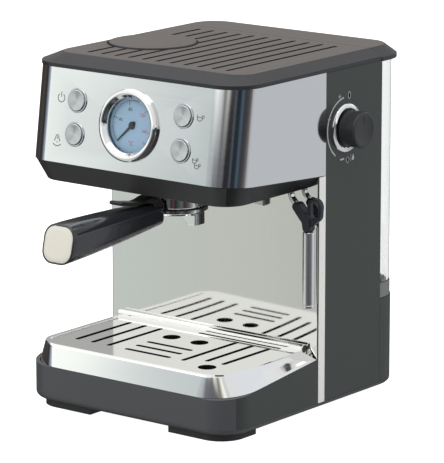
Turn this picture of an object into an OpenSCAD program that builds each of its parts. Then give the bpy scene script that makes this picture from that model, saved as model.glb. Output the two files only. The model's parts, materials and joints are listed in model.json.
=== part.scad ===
// Pump espresso machine: steel-clad head over a cup space, drip tray in front,
// tower with the pump behind it and a lift-off water tank at the back.
// Millimetres, +Z up, +Y towards the back; the front faces -Y.

/* [Body] */
// Width over the two side panels
body_w = 223; // [221:0.5:225]
// Height of the flat top above the table
body_h = 300; // [299:0.5:304]
// Depth from the base's front to the back of its rear block
body_d = 244; // [243:0.5:246]
// Radius of the upright front corners
corner_r = 28; // [25:1:30]
// Radius of the upright rear corners
rear_r = 30; // [26:1:31]
// Thickness of the steel sheet
sheet_t = 1; // [0.8:0.1:1.2]
// Wall thickness of the moulded covers
wall_t = 2.5; // [2:0.1:2.8]

/* [Head] */
// Backward lean of the control panel, degrees
panel_tilt = 8; // [7:0.5:9]
// Height of the panel's lower edge
head_z0 = 213; // [212:0.5:214]
// Height of the head's flat underside
under_z = 194.8; // [194:0.2:196]
// Diameter of the gauge bezel
bezel_d = 60.6; // [58:0.2:62]
// Diameter of a push button's cap
button_d = 17.4; // [16:0.2:17.8]
// Travel of a push button
button_travel = 1.5; // [1:0.1:1.5]

/* [Group] */
// Distance of the brewing axis behind the base's front
group_y = 70; // [69:0.5:71]
// Diameter of the portafilter's rim
rim_d = 54; // [53:0.5:55]
// Distance of the handle's end in front of the base
handle_reach = 82; // [75:1:85]
// Width of the handle's end
handle_w = 32; // [28:0.5:33]

/* [Tray] */
// Height of the dark tray's rim at the front
tray_front_z = 36.5; // [35:0.5:38]
// Height of the grille plane
grille_z = 56.2; // [55:0.2:57]
// Width of a drain slot
slot_w = 4.6; // [3:0.1:5.2]
// Diameter of the round drain holes
drain_d = 15.5; // [14:0.5:16]

/* [Hidden] */
$fn = 96;
hw = body_w / 2;                     // half width
foot_h = 6;                          // feet lift the base by this much
pan_z1 = 11;                         // seam between base pan and tray
gap = 0.3;                           // air between separate covers
screw_x = 85;                        // screws that hold the base pan
screw_y = [62, 192];
back_y = 119.3;                      // front face of the backsplash
strip_y = 128.7;                     // rear edge of the backsplash's returns
wrap_y = 128.6;                      // rear edge of the head's steel wrap
wrap_rear_z = 204.5;                 // wrap's lower edge at its rear
tower_y = 208;                       // rear face of the tower
seam_y = 206.8;                      // seam between top cover and tank lid
cover_z0 = body_h - 9.2;             // lower edge of the top cover's rim
lid_z0 = cover_z0 - 1.4;             // lower edge of the lid's rim
tank_y = 243.3;                      // rear face of the tank
lid_y = 249;                         // rear edge of the lid
shelf_z = 84.4;                      // top of the rear block
rim_z = body_h - 6;                  // top of the vertical rim
flat_hw = hw - 12;                   // half width of the flat top
flat_y = 32.6;                       // front edge of the flat top
panel_y = 2.5;                       // front plane at the panel's lower edge
panel_top_y = panel_y + (cover_z0 - head_z0) * tan(panel_tilt);
tray_rear_z = 49;                    // rim height of the tray at its rear
cover_top_hw = 100;                  // half width of the grille plane
cover_r = 36;                        // corner radius of the drip cover's foot
gauge_x = 1;                         // gauge centre across the panel
gauge_t = 39.3;                      // gauge centre up the panel
gauge_r = 26.2;                      // radius of the gauge's case
button_x = 55.9;                     // button columns
button_rows = [25.3, 53.4];          // button rows, up the panel
collar_w = 1.6;                      // width of a button's collar
knob_y = 156.6;                      // steam knob's axis
knob_z = 240.6;
knob_r = 15.2;
knob_face = 130.5;                   // outer face of the knob
collar_or = 25.2;                    // group collar, outside
collar_ir = 24;                      // group collar, inside
barrel_r = 21.4;                     // portafilter barrel inside the collar
ear_r = 23.4;                        // bayonet ears
rim_r = rim_d / 2;
rim_top = 176;                       // top of the portafilter's rim
bowl_z = 169.5;                      // underside of the bowl
spout_z = 161.4;                     // mouth of the spouts
spout_t = 13;                        // thickness of the spout bar
arch_r = 23;                         // arch between the spouts
arch_drop = 16.1;                    // arch's centre below the mouths
butt_y = group_y - rim_r - 2;        // where the handle starts
butt_z = 173;                        // handle's axis there
end_z = 168.5;                       // handle's axis at its end
end_tilt = 13;                       // lean of the handle's end face
wand_x = 90.5;                       // swivel axis of the steam wand
wand_y = 109;
knuckle_z = 188;                     // where the wand's pipe bends
pipe_r = 2.7;
tube_x = 108.8;                      // axis of the frothing sleeve
tube_r = 5.1;
sleeve_z0 = 95.5;
sleeve_z1 = 160;
boiler_r = 36;
pump_x = -20;
pump_y = 165;
hose_r = 3.2;
bend_r = 8;                          // centreline radius of a hose's bend
valve_x = 88;
slot_x = [39.9, 57.2, 74.3];         // long slots, both sides
short_slot_y = [28.5, 43.2, 57.5];
drains = [[-15, 82], [15, 82], [69.5, 23]];
groove_n = 11;
groove_pitch = 14.6;
groove_w = 2.8;
groove_y = [44, 196];
disc_at = [-61, 115];
disc_r = 37.6;
frame_x = (knob_face - hw - 0.5) / 2; // centre of the whole object's box
frame_y = (lid_y - handle_reach - handle_w / 2 * sin(end_tilt)) / 2;
eps = 0.02;

// ---------- shared shapes ----------

module place() translate([-frame_x, -frame_y, 0]) children();

// Rectangle in plan with rounded front and rear corners
module plan(x0, x1, y0, y1, rf = 0, rr = 0) intersection() {
    translate([x0, y0]) square([x1 - x0, y1 - y0]);
    union() {
        translate([x0, y0 + rf]) square([x1 - x0, y1 - y0 - rf - rr]);
        if (rf > 0) {
            translate([x0 + rf, y0]) square([x1 - x0 - 2 * rf, rf + eps]);
            for (x = [x0 + rf, x1 - rf]) translate([x, y0 + rf]) circle(r = rf);
        }
        if (rr > 0) {
            translate([x0 + rr, y1 - rr - eps]) square([x1 - x0 - 2 * rr, rr + eps]);
            for (x = [x0 + rr, x1 - rr]) translate([x, y1 - rr]) circle(r = rr);
        }
    }
}

// Upright prism over a symmetric plan
module slab(half, y0, y1, z0, z1, rf = 0, rr = 0)
    translate([0, 0, z0]) linear_extrude(z1 - z0) plan(-half, half, y0, y1, rf, rr);

// Prism along X over a side outline given as [y, z] points
module side_prism(points, x0 = -150, x1 = 150)
    translate([x0, 0, 0]) rotate([90, 0, 90]) linear_extrude(x1 - x0) polygon(points);

// Local frame of the control panel: X across, Z up the panel, -Y outwards
module on_panel() translate([0, panel_y, head_z0]) rotate([-panel_tilt, 0, 0]) children();

// Disc or ring on the panel, from depth y0 to y1 (negative is outside)
module panel_ring(x, t, y0, y1, ro, ri = 0)
    translate([x, y1, t]) rotate([90, 0, 0]) difference() {
        cylinder(r = ro, h = y1 - y0);
        if (ri > 0) translate([0, 0, -1]) cylinder(r = ri, h = y1 - y0 + 2);
    }

module ring(ro, ri, z0, z1) difference() {
    translate([0, 0, z0]) cylinder(r = ro, h = z1 - z0);
    translate([0, 0, z0 - 1]) cylinder(r = ri, h = z1 - z0 + 2);
}

// Round-ended slot through everything along Z
module slot(p, q, w, z0, z1) {
    along_y = p[0] == q[0];
    len = along_y ? q[1] - p[1] : q[0] - p[0];
    translate([p[0], p[1], z0]) rotate([0, 0, along_y ? 90 : 0]) {
        for (s = [w / 2, len - w / 2]) translate([s, 0, 0]) cylinder(d = w, h = z1 - z0);
        translate([w / 2, -w / 2, 0]) cube([len - w, w, z1 - z0]);
    }
}

// Quarter bend of a hose: enters along +Z at the origin, leaves along +X
module bend(r) translate([bend_r, 0, 0]) rotate([90, 0, 0]) intersection() {
    rotate_extrude() translate([bend_r, 0]) circle(r = r, $fn = 24);
    translate([-2 * bend_r, 0, -r - 1]) cube([2 * bend_r, 2 * bend_r, 2 * r + 2]);
}

// Height of the head's lower steel edge at depth y
function wrap_edge(y) = head_z0 - (y - panel_y) * (head_z0 - wrap_rear_z) / (wrap_y - panel_y);
// Height of the tray's rim at depth y
function tray_edge(y) = tray_front_z + y * (tray_rear_z - tray_front_z) / back_y;

// The head's outer form, inset all round
module head_prism(inset) on_panel() translate([0, 0, -40]) linear_extrude(150)
    plan(-hw + inset, hw - inset, inset, 190, corner_r - inset);

// Thin slice of the head's outer form along its sloping lower edge
module head_slice(inset, rise) intersection() {
    head_prism(inset);
    side_prism([[-8, wrap_edge(-8) + rise], [back_y - gap, wrap_edge(back_y) + rise],
        [back_y - gap, wrap_edge(back_y) + rise - 0.4], [-8, wrap_edge(-8) + rise - 0.4]]);
}

// ---------- base ----------

module base_pan() place() color([0.27, 0.28, 0.29]) difference() {
    union() {
        difference() {
            hull() {
                slab(hw - 8, 5, body_d - 6, foot_h, foot_h + 0.5, corner_r - 5, rear_r - 5, $fn = 64);
                slab(hw, 0, body_d, pan_z1 - 1, pan_z1, corner_r, rear_r, $fn = 64);
            }
            slab(hw - 9, 9, body_d - 8, foot_h + wall_t, pan_z1 + 1, corner_r - 9, rear_r - 8);
        }
        for (x = [-60, 0, 60]) translate([x - 1, 9, foot_h + wall_t]) cube([2, 108, pan_z1 - foot_h - wall_t]);
    }
    for (x = [-screw_x, screw_x], y = screw_y) translate([x, y, 0]) cylinder(d = 4.4, h = 20);
}

module feet() place() color([0.13, 0.13, 0.14]) {
    intersection() {
        slab(hw - 9, 6, 50, 0, foot_h, corner_r - 6);
        for (x = [-106, 42]) translate([x, 0, -1]) cube([64, 46, 20]);
    }
    for (x = [-92, 66]) translate([x, 207, 0]) cube([26, 22, foot_h]);
}

module pan_screws() place() color("silver") for (x = [-screw_x, screw_x], y = screw_y)
    translate([x, y, 0]) {
    translate([0, 0, foot_h + wall_t]) cylinder(d = 8, h = 2.4);
    translate([0, 0, foot_h + 0.05]) cylinder(d = 4.2, h = wall_t + 0.2);
}

module rear_base() place() color([0.27, 0.28, 0.29]) difference() {
    slab(hw, tower_y + gap, body_d, pan_z1 + gap, shelf_z, 0, rear_r);
    slab(hw - wall_t, tower_y + gap + wall_t, body_d - wall_t, pan_z1, shelf_z - 4, 0, rear_r - wall_t);
    translate([pump_x, 226, shelf_z - 10]) cylinder(r = 10.5, h = 12);
    translate([pump_x, tower_y + 10, 35]) rotate([90, 0, 0]) cylinder(r = 5, h = 20);
    translate([60, body_d + 1, 40]) rotate([90, 0, 0]) cylinder(r = 6, h = 10);
}

module cord_gland() place() color([0.08, 0.08, 0.08]) translate([60, 0, 40]) rotate([-90, 0, 0]) difference() {
    union() {
        translate([0, 0, body_d - wall_t]) cylinder(r = 5.95, h = wall_t);
        translate([0, 0, body_d]) cylinder(r = 8, h = 2.8);
        translate([0, 0, body_d - wall_t - 3]) cylinder(r = 7.5, h = 3);
    }
    translate([0, 0, body_d - 10]) cylinder(r = 3.6, h = 20);
}

// ---------- drip tray ----------

module drip_tray() place() color([0.33, 0.33, 0.35]) difference() {
    intersection() {
        slab(hw, 0, back_y - gap, pan_z1 + gap, 60, corner_r);
        side_prism([[-1, 0], [back_y, 0], [back_y, tray_rear_z], [-1, tray_edge(-1)]]);
    }
    slab(hw - 3.5, 3.5, back_y - 3.5, pan_z1 + 3, 70, corner_r - 3.5);
}

// Outer form of the drip cover, shrunk by t
module grille_form(t) hull() {
    slab(cover_top_hw - t, 4 + t, 113, grille_z - 1 - t, grille_z - t, 21 - t, $fn = 64);
    intersection() {
        slab(hw - 0.6 - t, 0.6 + t, back_y - 0.9, 20, 80, cover_r - t, $fn = 64);
        side_prism([[-1, tray_edge(-1) + 0.3], [back_y, tray_edge(back_y) + 0.3],
            [back_y, tray_edge(back_y) + 0.8], [-1, tray_edge(-1) + 0.8]]);
    }
}

module drip_grille() place() color([0.9, 0.9, 0.88]) {
    difference() {
        grille_form(0);
        difference() {
            grille_form(sheet_t);
            translate([-150, back_y - 0.9 - sheet_t, 0]) cube([300, 10, 100]);
        }
        side_prism([[-3, tray_edge(-3)], [back_y - 2, tray_edge(back_y - 2)],
            [back_y - 2, tray_edge(back_y - 2) + 0.9], [-3, tray_edge(-3) + 0.9]],
            -hw + 2.2, hw - 2.2);
        for (x = slot_x) {
            slot([-x, 27], [-x, 100], slot_w, 40, 60);
            slot([x, x == slot_x[0] ? 27 : 37], [x, 101], slot_w, 40, 60);
        }
        for (y = short_slot_y) slot([-22, y], [27, y], slot_w, 40, 60);
        slot([-6, 110.6], [81.5, 110.6], 2.4, 40, 60);
        for (d = drains) translate([d[0], d[1], 40]) cylinder(d = drain_d, h = 20);
    }
    lip_y = 112.6;
    translate([-100, lip_y, grille_z - 0.5]) cube([200, 6, 2.5]);
    translate([-100, lip_y + 3, grille_z + 2]) rotate([0, 90, 0]) cylinder(r = 3, h = 200);
}

// ---------- tower ----------

module backsplash() place() color([0.78, 0.81, 0.78]) {
    z0 = pan_z1 + gap;
    translate([-hw, back_y, z0]) cube([body_w, sheet_t, under_z - gap - z0]);
    for (s = [-hw, hw - sheet_t]) translate([s, back_y, z0])
        cube([sheet_t, strip_y - back_y, wrap_rear_z - gap - z0]);
}

module side_panel(s) difference() {
    translate([s > 0 ? hw - wall_t : -hw, strip_y + 0.2, pan_z1 + gap])
        cube([wall_t, tower_y - strip_y - 0.2, cover_z0 - pan_z1 - 2 * gap]);
    translate([-150, seam_y - gap, lid_z0 - gap]) cube([300, 10, 20]);
    if (s > 0) translate([hw + 1, knob_y, knob_z]) rotate([0, -90, 0]) cylinder(r = 4, h = 6);
}

module side_panel_left() place() color([0.27, 0.29, 0.28]) side_panel(-1);
module side_panel_right() place() color([0.27, 0.29, 0.28]) side_panel(1);

module rear_panel() place() color([0.2, 0.2, 0.21]) difference() {
    translate([-hw + wall_t + 0.2, tower_y - wall_t, pan_z1 + gap])
        cube([body_w - 2 * wall_t - 0.4, wall_t, lid_z0 - pan_z1 - 2 * gap]);
    translate([pump_x, tower_y + 5, 35]) rotate([90, 0, 0]) cylinder(r = 5, h = 20);
    for (x = [-98, 98], z = [100, 275]) translate([x, tower_y + 5, z]) rotate([90, 0, 0]) cylinder(d = 4.4, h = 20);
}

module rear_screws() place() color("silver") for (x = [-98, 98], z = [100, 275]) translate([x, 0, z])
    rotate([-90, 0, 0]) {
        translate([0, 0, tower_y - wall_t - 2]) cylinder(d = 4.2, h = wall_t + 1.98);
        translate([0, 0, tower_y - wall_t - 4]) cylinder(d = 7.5, h = 2.5);
    }

// ---------- head ----------

module head_wrap() place() color([0.8, 0.81, 0.82]) difference() {
    intersection() {
        difference() {
            head_prism(0);
            head_prism(sheet_t);
        }
        side_prism([[-8, wrap_edge(-8)], [wrap_y, wrap_rear_z], [wrap_y, cover_z0 - 0.1], [-8, cover_z0 - 0.1]]);
    }
    on_panel() {
        panel_ring(gauge_x, gauge_t, -5, 5, gauge_r + gap);
        for (x = [-button_x, button_x], t = button_rows) panel_ring(x, t, -5, 5, button_d / 2 + 0.9);
    }
}

module head_bottom_cover() place() color([0.2, 0.2, 0.21]) difference() {
    hull() {
        head_slice(0.6, -0.2, $fn = 64);
        slab(hw - 9.5, 11.5, back_y - gap, under_z, under_z + 0.4, corner_r - 7, $fn = 64);
    }
    hull() {
        head_slice(3.2, 0.6, $fn = 64);
        slab(hw - 12.5, 14.5, back_y - gap - wall_t, under_z + wall_t, under_z + wall_t + 0.4, corner_r - 10,
            $fn = 64);
    }
    translate([0, group_y, under_z - 1]) cylinder(r = collar_or + 0.3, h = 10);
    translate([wand_x, wand_y, under_z - 1]) cylinder(r = 6.3, h = 10);
}

module cover_form(t) hull() {
    slab(hw + 0.5 - t, panel_top_y - 0.6 + t, seam_y - gap, cover_z0, rim_z - t / 2, corner_r - t, $fn = 64);
    slab(flat_hw - t, flat_y + t, seam_y - gap, body_h - 0.5 - t, body_h - t, 17 - t / 2, $fn = 64);
}

module top_cover() place() color([0.42, 0.39, 0.39]) difference() {
    cover_form(0);
    difference() {
        translate([0, 0, -0.01]) cover_form(wall_t);
        translate([-150, seam_y - gap - wall_t, 0]) cube([300, 10, 400]);
        translate([disc_at[0], disc_at[1], 0]) cylinder(r = disc_r + 3.5, h = 400);
    }
    translate([disc_at[0], disc_at[1], body_h - 1.4]) cylinder(r = disc_r + 1.4, h = 5);
    translate([disc_at[0], disc_at[1], 0]) cylinder(r = disc_r + 1, h = body_h - 4);
    for (i = [0 : groove_n - 1]) {
        x = (i - (groove_n - 1) / 2) * groove_pitch;
        slot([x, groove_y[0]], [x, groove_y[1]], groove_w, body_h - 1.2, body_h + 1);
    }
}

module top_disc() place() color([0.44, 0.41, 0.4]) translate([disc_at[0], disc_at[1], body_h - 1.4])
    cylinder(r = disc_r, h = 2.6);

module tank_lid() place() color([0.42, 0.39, 0.39]) difference() {
    hull() {
        slab(hw + 0.5, seam_y, lid_y, lid_z0, rim_z - 1, 0, rear_r, $fn = 64);
        slab(flat_hw, seam_y, lid_y - 6, body_h - 0.5, body_h, 0, rear_r - 8, $fn = 64);
    }
    slab(hw - 4, seam_y + wall_t, lid_y - 8, cover_z0 - 3, body_h - 7, 0, rear_r - 8);
}

// ---------- water tank ----------

module water_tank() place() color([0.8, 0.86, 0.9, 0.4]) difference() {
    slab(hw - 1, tower_y + 0.6, tank_y, shelf_z + gap, lid_z0 - gap, 3, rear_r);
    slab(hw - 3.2, tower_y + 2.8, tank_y - 2.2, shelf_z + 3, cover_z0 + 5, 1.5, rear_r - 2.2);
    translate([pump_x, 226, shelf_z - 5]) cylinder(r = 7.4, h = 12);
}

module tank_valve() place() color([0.75, 0.3, 0.2]) translate([pump_x, 226, 0]) {
    ring(7.35, 3, shelf_z - 3, shelf_z + 3);
    ring(9.5, 7.3, shelf_z + 3.02, shelf_z + 5);
    ring(7.35, 3, shelf_z + 3, shelf_z + 5);
}

module tank_filter() place() color("white") translate([pump_x, 226, shelf_z + 5.05]) difference() {
    cylinder(r = 8.5, h = 22);
    translate([0, 0, -1]) cylinder(r = 6.5, h = 21);
}

// ---------- control panel ----------

module gauge_bezel() place() color([0.85, 0.86, 0.87]) on_panel() translate([gauge_x, 0, gauge_t])
    rotate([90, 0, 0]) rotate_extrude() polygon([[22.6, 0.1], [bezel_d / 2, 0.1], [bezel_d / 2, 1.6],
        [bezel_d / 2 - 1, 3.4], [bezel_d / 2 - 3, 4.6], [bezel_d / 2 - 5, 4.6], [22.6, 2.2]]);

module gauge_case() place() color([0.3, 0.32, 0.34]) on_panel() difference() {
    panel_ring(gauge_x, gauge_t, 0, 20, gauge_r);
    panel_ring(gauge_x, gauge_t, -1, 17.5, gauge_r - 1.6);
}

module gauge_dial() place() color([0.72, 0.82, 0.92]) on_panel()
    panel_ring(gauge_x, gauge_t, 4.2, 5.2, gauge_r - 1.65, 1.2);

module gauge_needle() place() color([0.1, 0.1, 0.12]) on_panel() translate([gauge_x, 0, gauge_t]) {
    panel_ring(0, 0, 2.4, 9, 1.15);
    panel_ring(0, 0, 2.2, 3.8, 3.2);
    rotate([0, -135, 0]) translate([0, 2.6, -0.7]) cube([18.5, 0.6, 1.4]);
}

module gauge_lens() place() color([0.85, 0.92, 0.95, 0.25]) on_panel()
    panel_ring(gauge_x, gauge_t, 0.2, 1.4, gauge_r - 1.65);

module button_collars() place() color([0.7, 0.71, 0.72]) on_panel()
    for (x = [-button_x, button_x], t = button_rows) {
        panel_ring(x, t, -0.9, -0.05, button_d / 2 + collar_w, button_d / 2 + 0.1);
        panel_ring(x, t, -0.06, 4, button_d / 2 + 0.8, button_d / 2 + 0.1);
    }

module push_button(x, t) on_panel() {
    panel_ring(x, t, -2, 2.2, button_d / 2);
    panel_ring(x, t, 2.15, 8.8, 3);
}

module button_power() place() color([0.82, 0.83, 0.84]) push_button(-button_x, button_rows[1]);
module button_steam() place() color([0.82, 0.83, 0.84]) push_button(-button_x, button_rows[0]);
module button_cup() place() color([0.82, 0.83, 0.84]) push_button(button_x, button_rows[1]);
module button_double() place() color([0.82, 0.83, 0.84]) push_button(button_x, button_rows[0]);

module button_switches() place() color([0.1, 0.1, 0.1]) on_panel()
    for (x = [-button_x, button_x], t = button_rows) translate([x - 4, 8.8 + button_travel + 0.1, t - 4])
        cube([8, 1.5, 8]);

module switch_board() place() color([0.1, 0.4, 0.25]) on_panel() difference() {
    translate([-75, 8.8 + button_travel + 1.6, 14]) cube([150, 1.6, 50]);
    panel_ring(gauge_x, gauge_t, 0, 30, gauge_r + 1);
}

// ---------- steam tap ----------

module knob_ring() place() color([0.85, 0.86, 0.87]) translate([0, knob_y, knob_z]) rotate([0, 90, 0])
    rotate_extrude() polygon([[16.2, hw + 0.05], [20.5, hw + 0.05], [20.5, hw + 1.4], [19.4, hw + 2.5],
        [17.3, hw + 2.5], [16.2, hw + 1.4]]);

module steam_knob() place() color([0.17, 0.18, 0.18]) translate([0, knob_y, knob_z]) rotate([0, 90, 0])
    difference() {
        union() {
            translate([0, 0, hw + 3]) cylinder(r = knob_r, h = knob_face - 1.2 - hw - 3);
            translate([0, 0, knob_face - 1.22]) cylinder(r1 = knob_r, r2 = knob_r - 1.2, h = 1.22);
        }
        translate([0, 0, hw + 2]) cylinder(r = 3.02, h = 9);
    }

module valve_spindle() place() color("silver") translate([0, knob_y, knob_z]) rotate([0, 90, 0])
    translate([0, 0, valve_x + 4]) cylinder(r = 3, h = hw + 11 - valve_x - 4.1);

module steam_valve() place() color([0.75, 0.62, 0.35]) difference() {
    translate([valve_x - 16, knob_y - 9, knob_z - 9]) cube([34, 18, 18]);
    translate([valve_x + 3, knob_y, knob_z]) rotate([0, 90, 0]) cylinder(r = 3.05, h = 30);
}

// ---------- brewing group ----------

module group_head() place() color([0.7, 0.71, 0.72]) translate([0, group_y, 0]) {
    ring(collar_or, collar_ir, rim_top + 0.4, 196);
    ring(collar_or, barrel_r + 0.5, rim_top + 0.4, rim_top + 3);
    ring(collar_or, 4, 195.9, 201);
    ring(40, 4, under_z + wall_t + 0.05, 206);
}

module shower_screen() place() color("silver") translate([0, group_y, 0]) difference() {
    translate([0, 0, 189.5]) cylinder(r = 17.6, h = 3);
    for (r = [6, 12], a = [0 : 60 : 300]) rotate([0, 0, a]) translate([r, 0, 188]) cylinder(r = 0.8, h = 6, $fn = 16);
}

module group_gasket() place() color([0.12, 0.12, 0.12]) translate([0, group_y, 0]) ring(23.8, 18.2, 190.2, 193.5);

module boiler_lower() place() color([0.78, 0.78, 0.76]) translate([0, group_y, 0]) difference() {
    union() {
        translate([0, 0, 206.02]) cylinder(r = boiler_r, h = 24);
        translate([0, 0, 226]) cylinder(r = boiler_r + 8, h = 4);
    }
    translate([0, 0, 210]) cylinder(r = boiler_r - 4, h = 30);
    for (a = [45 : 90 : 315]) rotate([0, 0, a]) translate([boiler_r + 4, 0, 220]) cylinder(r = 2.6, h = 20);
}

module boiler_upper() place() color([0.78, 0.78, 0.76]) translate([0, group_y, 0]) difference() {
    union() {
        translate([0, 0, 230.05]) cylinder(r = boiler_r + 8, h = 4);
        translate([0, 0, 230.05]) cylinder(r = boiler_r, h = 24);
        translate([20, 0, 246]) rotate([-90, 0, 0]) cylinder(r = 4, h = boiler_r + 4);
        translate([-20, 0, 246]) rotate([-90, 0, 0]) cylinder(r = 4, h = boiler_r + 4);
    }
    translate([0, 0, 229]) cylinder(r = boiler_r - 4, h = 21);
    for (a = [45 : 90 : 315]) rotate([0, 0, a]) translate([boiler_r + 4, 0, 220]) cylinder(r = 2.6, h = 20);
}

module boiler_bolts() place() color([0.6, 0.6, 0.62]) translate([0, group_y, 0])
    for (a = [45 : 90 : 315]) rotate([0, 0, a]) translate([boiler_r + 4, 0, 0]) {
        translate([0, 0, 224]) cylinder(r = 2.5, h = 10.2);
        translate([0, 0, 234.1]) cylinder(r = 3.8, h = 3.5);
    }

module heating_element() place() color([0.5, 0.35, 0.25]) translate([0, group_y, 218])
    rotate_extrude() translate([23, 0]) circle(r = 3.2, $fn = 32);

module thermostat() place() color([0.85, 0.85, 0.8]) translate([0, group_y, 254.1]) {
    cylinder(r = 9, h = 6);
    for (s = [-5, 5]) translate([s - 1, -3, 6]) cube([2, 6, 5]);
}

// ---------- portafilter ----------

module portafilter_body() place() color([0.83, 0.84, 0.85]) translate([0, group_y, 0]) {
    difference() {
        union() {
            translate([0, 0, rim_top - 4.5]) cylinder(r = rim_r, h = 4.5);
            translate([0, 0, bowl_z]) cylinder(r = rim_r - 1, h = 3);
            translate([0, 0, rim_top - 1]) cylinder(r = barrel_r, h = 13);
            intersection() {
                ring(ear_r, barrel_r - 1, rim_top + 6, rim_top + 9);
                for (a = [0, 180]) rotate([0, 0, a]) translate([0, -9, 0]) cube([40, 18, 300]);
            }
            translate([0, 1 - rim_r, butt_z - 1.5]) rotate([90, 0, 0]) cylinder(r = 5, h = 2.75);
        }
        translate([0, 0, bowl_z + 2]) cylinder(r = 18.6, h = 40);
        for (x = [-20, 20]) translate([x * 0.7, 0, bowl_z - 1]) cylinder(r = 2, h = 8);
    }
}

module portafilter_spout() place() color([0.83, 0.84, 0.85]) translate([0, group_y, 0]) difference() {
    intersection() {
        translate([0, 0, spout_z]) cylinder(r = rim_r - 1, h = bowl_z - spout_z - 0.02);
        translate([-rim_r, -spout_t / 2, spout_z]) cube([rim_d, spout_t, bowl_z - spout_z]);
    }
    translate([0, spout_t, spout_z - arch_drop]) rotate([90, 0, 0]) cylinder(r = arch_r, h = 2 * spout_t);
    for (x = [-20.6, 20.6]) translate([x, 0, spout_z - 1]) cylinder(r = 2.4, h = 6);
}

module filter_basket() place() color("silver") translate([0, group_y, 0]) difference() {
    union() {
        translate([0, 0, bowl_z + 3]) cylinder(r = 18.4, h = 16.5);
        translate([0, 0, rim_top + 12.1]) cylinder(r = 20.8, h = 0.8);
    }
    translate([0, 0, bowl_z + 3.8]) cylinder(r = 17.8, h = 40);
    for (r = [5, 10], a = [0 : 60 : 300]) rotate([0, 0, a]) translate([r, 0, bowl_z]) cylinder(r = 0.7, h = 6, $fn = 16);
}

// Cross-section of the handle: a rounded square standing in XZ
module handle_section(w, r) rotate([90, 0, 0]) linear_extrude(0.4, center = true)
    hull() for (x = [-1, 1], z = [-1, 1]) translate([x * (w / 2 - r), z * (w / 2 - r)]) circle(r = r, $fn = 32);

module portafilter_handle() place() color([0.14, 0.15, 0.17]) difference() {
    hull() {
        translate([0, -handle_reach + 0.3, end_z]) rotate([-end_tilt, 0, 0]) handle_section(handle_w, 11);
        translate([0, -20, 171]) handle_section(27, 10);
        translate([0, butt_y, butt_z]) handle_section(20, 8);
    }
    translate([0, -handle_reach, end_z]) rotate([-end_tilt, 0, 0]) translate([0, 0.6, 0])
        rotate([90, 0, 0]) linear_extrude(2) hull() for (x = [-1, 1], z = [-1, 1])
            translate([x * 4.6, z * 4.6]) circle(r = 9.6, $fn = 32);
}

module handle_cap() place() color([0.89, 0.87, 0.82]) translate([0, -handle_reach, end_z])
    rotate([-end_tilt, 0, 0]) translate([0, 0.55, 0]) rotate([90, 0, 0]) linear_extrude(0.8)
        hull() for (x = [-1, 1], z = [-1, 1]) translate([x * 4.6, z * 4.6]) circle(r = 9.5, $fn = 32);

module basket_clip() place() color([0.08, 0.08, 0.09]) {
    side_prism([[29, 184], [38, 184], [38, 187.5], [29, 188.2], [16, 187.2], [10, 187.8],
        [2, 188.8], [-9, 191.4], [-9, 187.6], [1, 186], [14, 185.4]], -7, 7);
    translate([-8, 33.5, 185.8]) rotate([0, 90, 0]) cylinder(r = 2.2, h = 16);
}

// ---------- steam wand ----------

module wand_socket() place() color([0.2, 0.2, 0.2]) translate([wand_x, wand_y, 0]) {
    ring(6, 2.75, under_z - 2.8, 206);
    ring(6.9, 2.75, under_z + wall_t + 0.05, under_z + wall_t + 2);
}

module wand_pipe() place() color([0.8, 0.82, 0.83]) {
    translate([wand_x, wand_y, knuckle_z]) cylinder(r = pipe_r, h = 16);
    translate([wand_x, wand_y, knuckle_z]) sphere(r = 3.3);
    translate([wand_x, wand_y, knuckle_z]) rotate([0, 135, 0]) cylinder(r = pipe_r, h = 8.4);
    translate([tube_x, wand_y, sleeve_z0 + 4]) cylinder(r = 2.2, h = sleeve_z1 - sleeve_z0 - 4);
}

// One slab of the grip, centred on the wand in Y
module grip_slab(depth) translate([0, wand_y + depth / 2, 0]) rotate([90, 0, 0]) linear_extrude(depth) children();

module wand_grip() place() color([0.07, 0.08, 0.11]) difference() {
    union() {
        grip_slab(8.6) {
            hull() {
                translate([98.2, 180.2]) circle(r = 3.8, $fn = 32);
                translate([107, 170.6]) circle(r = 4.1, $fn = 32);
            }
            hull() {
                translate([108, 170.6]) circle(r = 4.2, $fn = 32);
                translate([104.9, 160]) square([7.6, 2]);
            }
        }
        grip_slab(5.4) difference() {
            hull() {
                translate([115.6, 182.2]) circle(r = 7, $fn = 48);
                translate([115.6, 175.6]) circle(r = 6.6, $fn = 48);
                translate([108.8, 166]) circle(r = 3.4, $fn = 32);
            }
            hull() {
                translate([116, 182.4]) circle(r = 4.3, $fn = 48);
                translate([115.8, 176]) circle(r = 3.9, $fn = 48);
            }
        }
    }
    translate([wand_x, wand_y, knuckle_z]) rotate([0, 135, 0]) cylinder(r = 2.72, h = 8.6);
}

module frothing_sleeve() place() color([0.82, 0.83, 0.84]) translate([tube_x, wand_y, 0])
    ring(tube_r, 2.26, sleeve_z0, sleeve_z1 - 0.1);

// ---------- inside the tower ----------

module pump() place() color([0.85, 0.85, 0.82]) translate([pump_x, pump_y, 0]) {
    translate([0, 0, 46]) cylinder(r = 6, h = 72);
    translate([0, 0, 56]) cylinder(r = 19, h = 12);
    translate([-19, -17, 68]) cube([38, 34, 30]);
    translate([0, 0, 98]) cylinder(r = 15, h = 10);
}

module pump_mounts() place() color([0.15, 0.15, 0.15]) translate([pump_x, pump_y, 0]) {
    ring(13, 6.05, 50, 55.9);
    for (a = [0, 180]) rotate([0, 0, a]) translate([9, -4, 8.55]) cube([4, 8, 41.5]);
}

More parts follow.
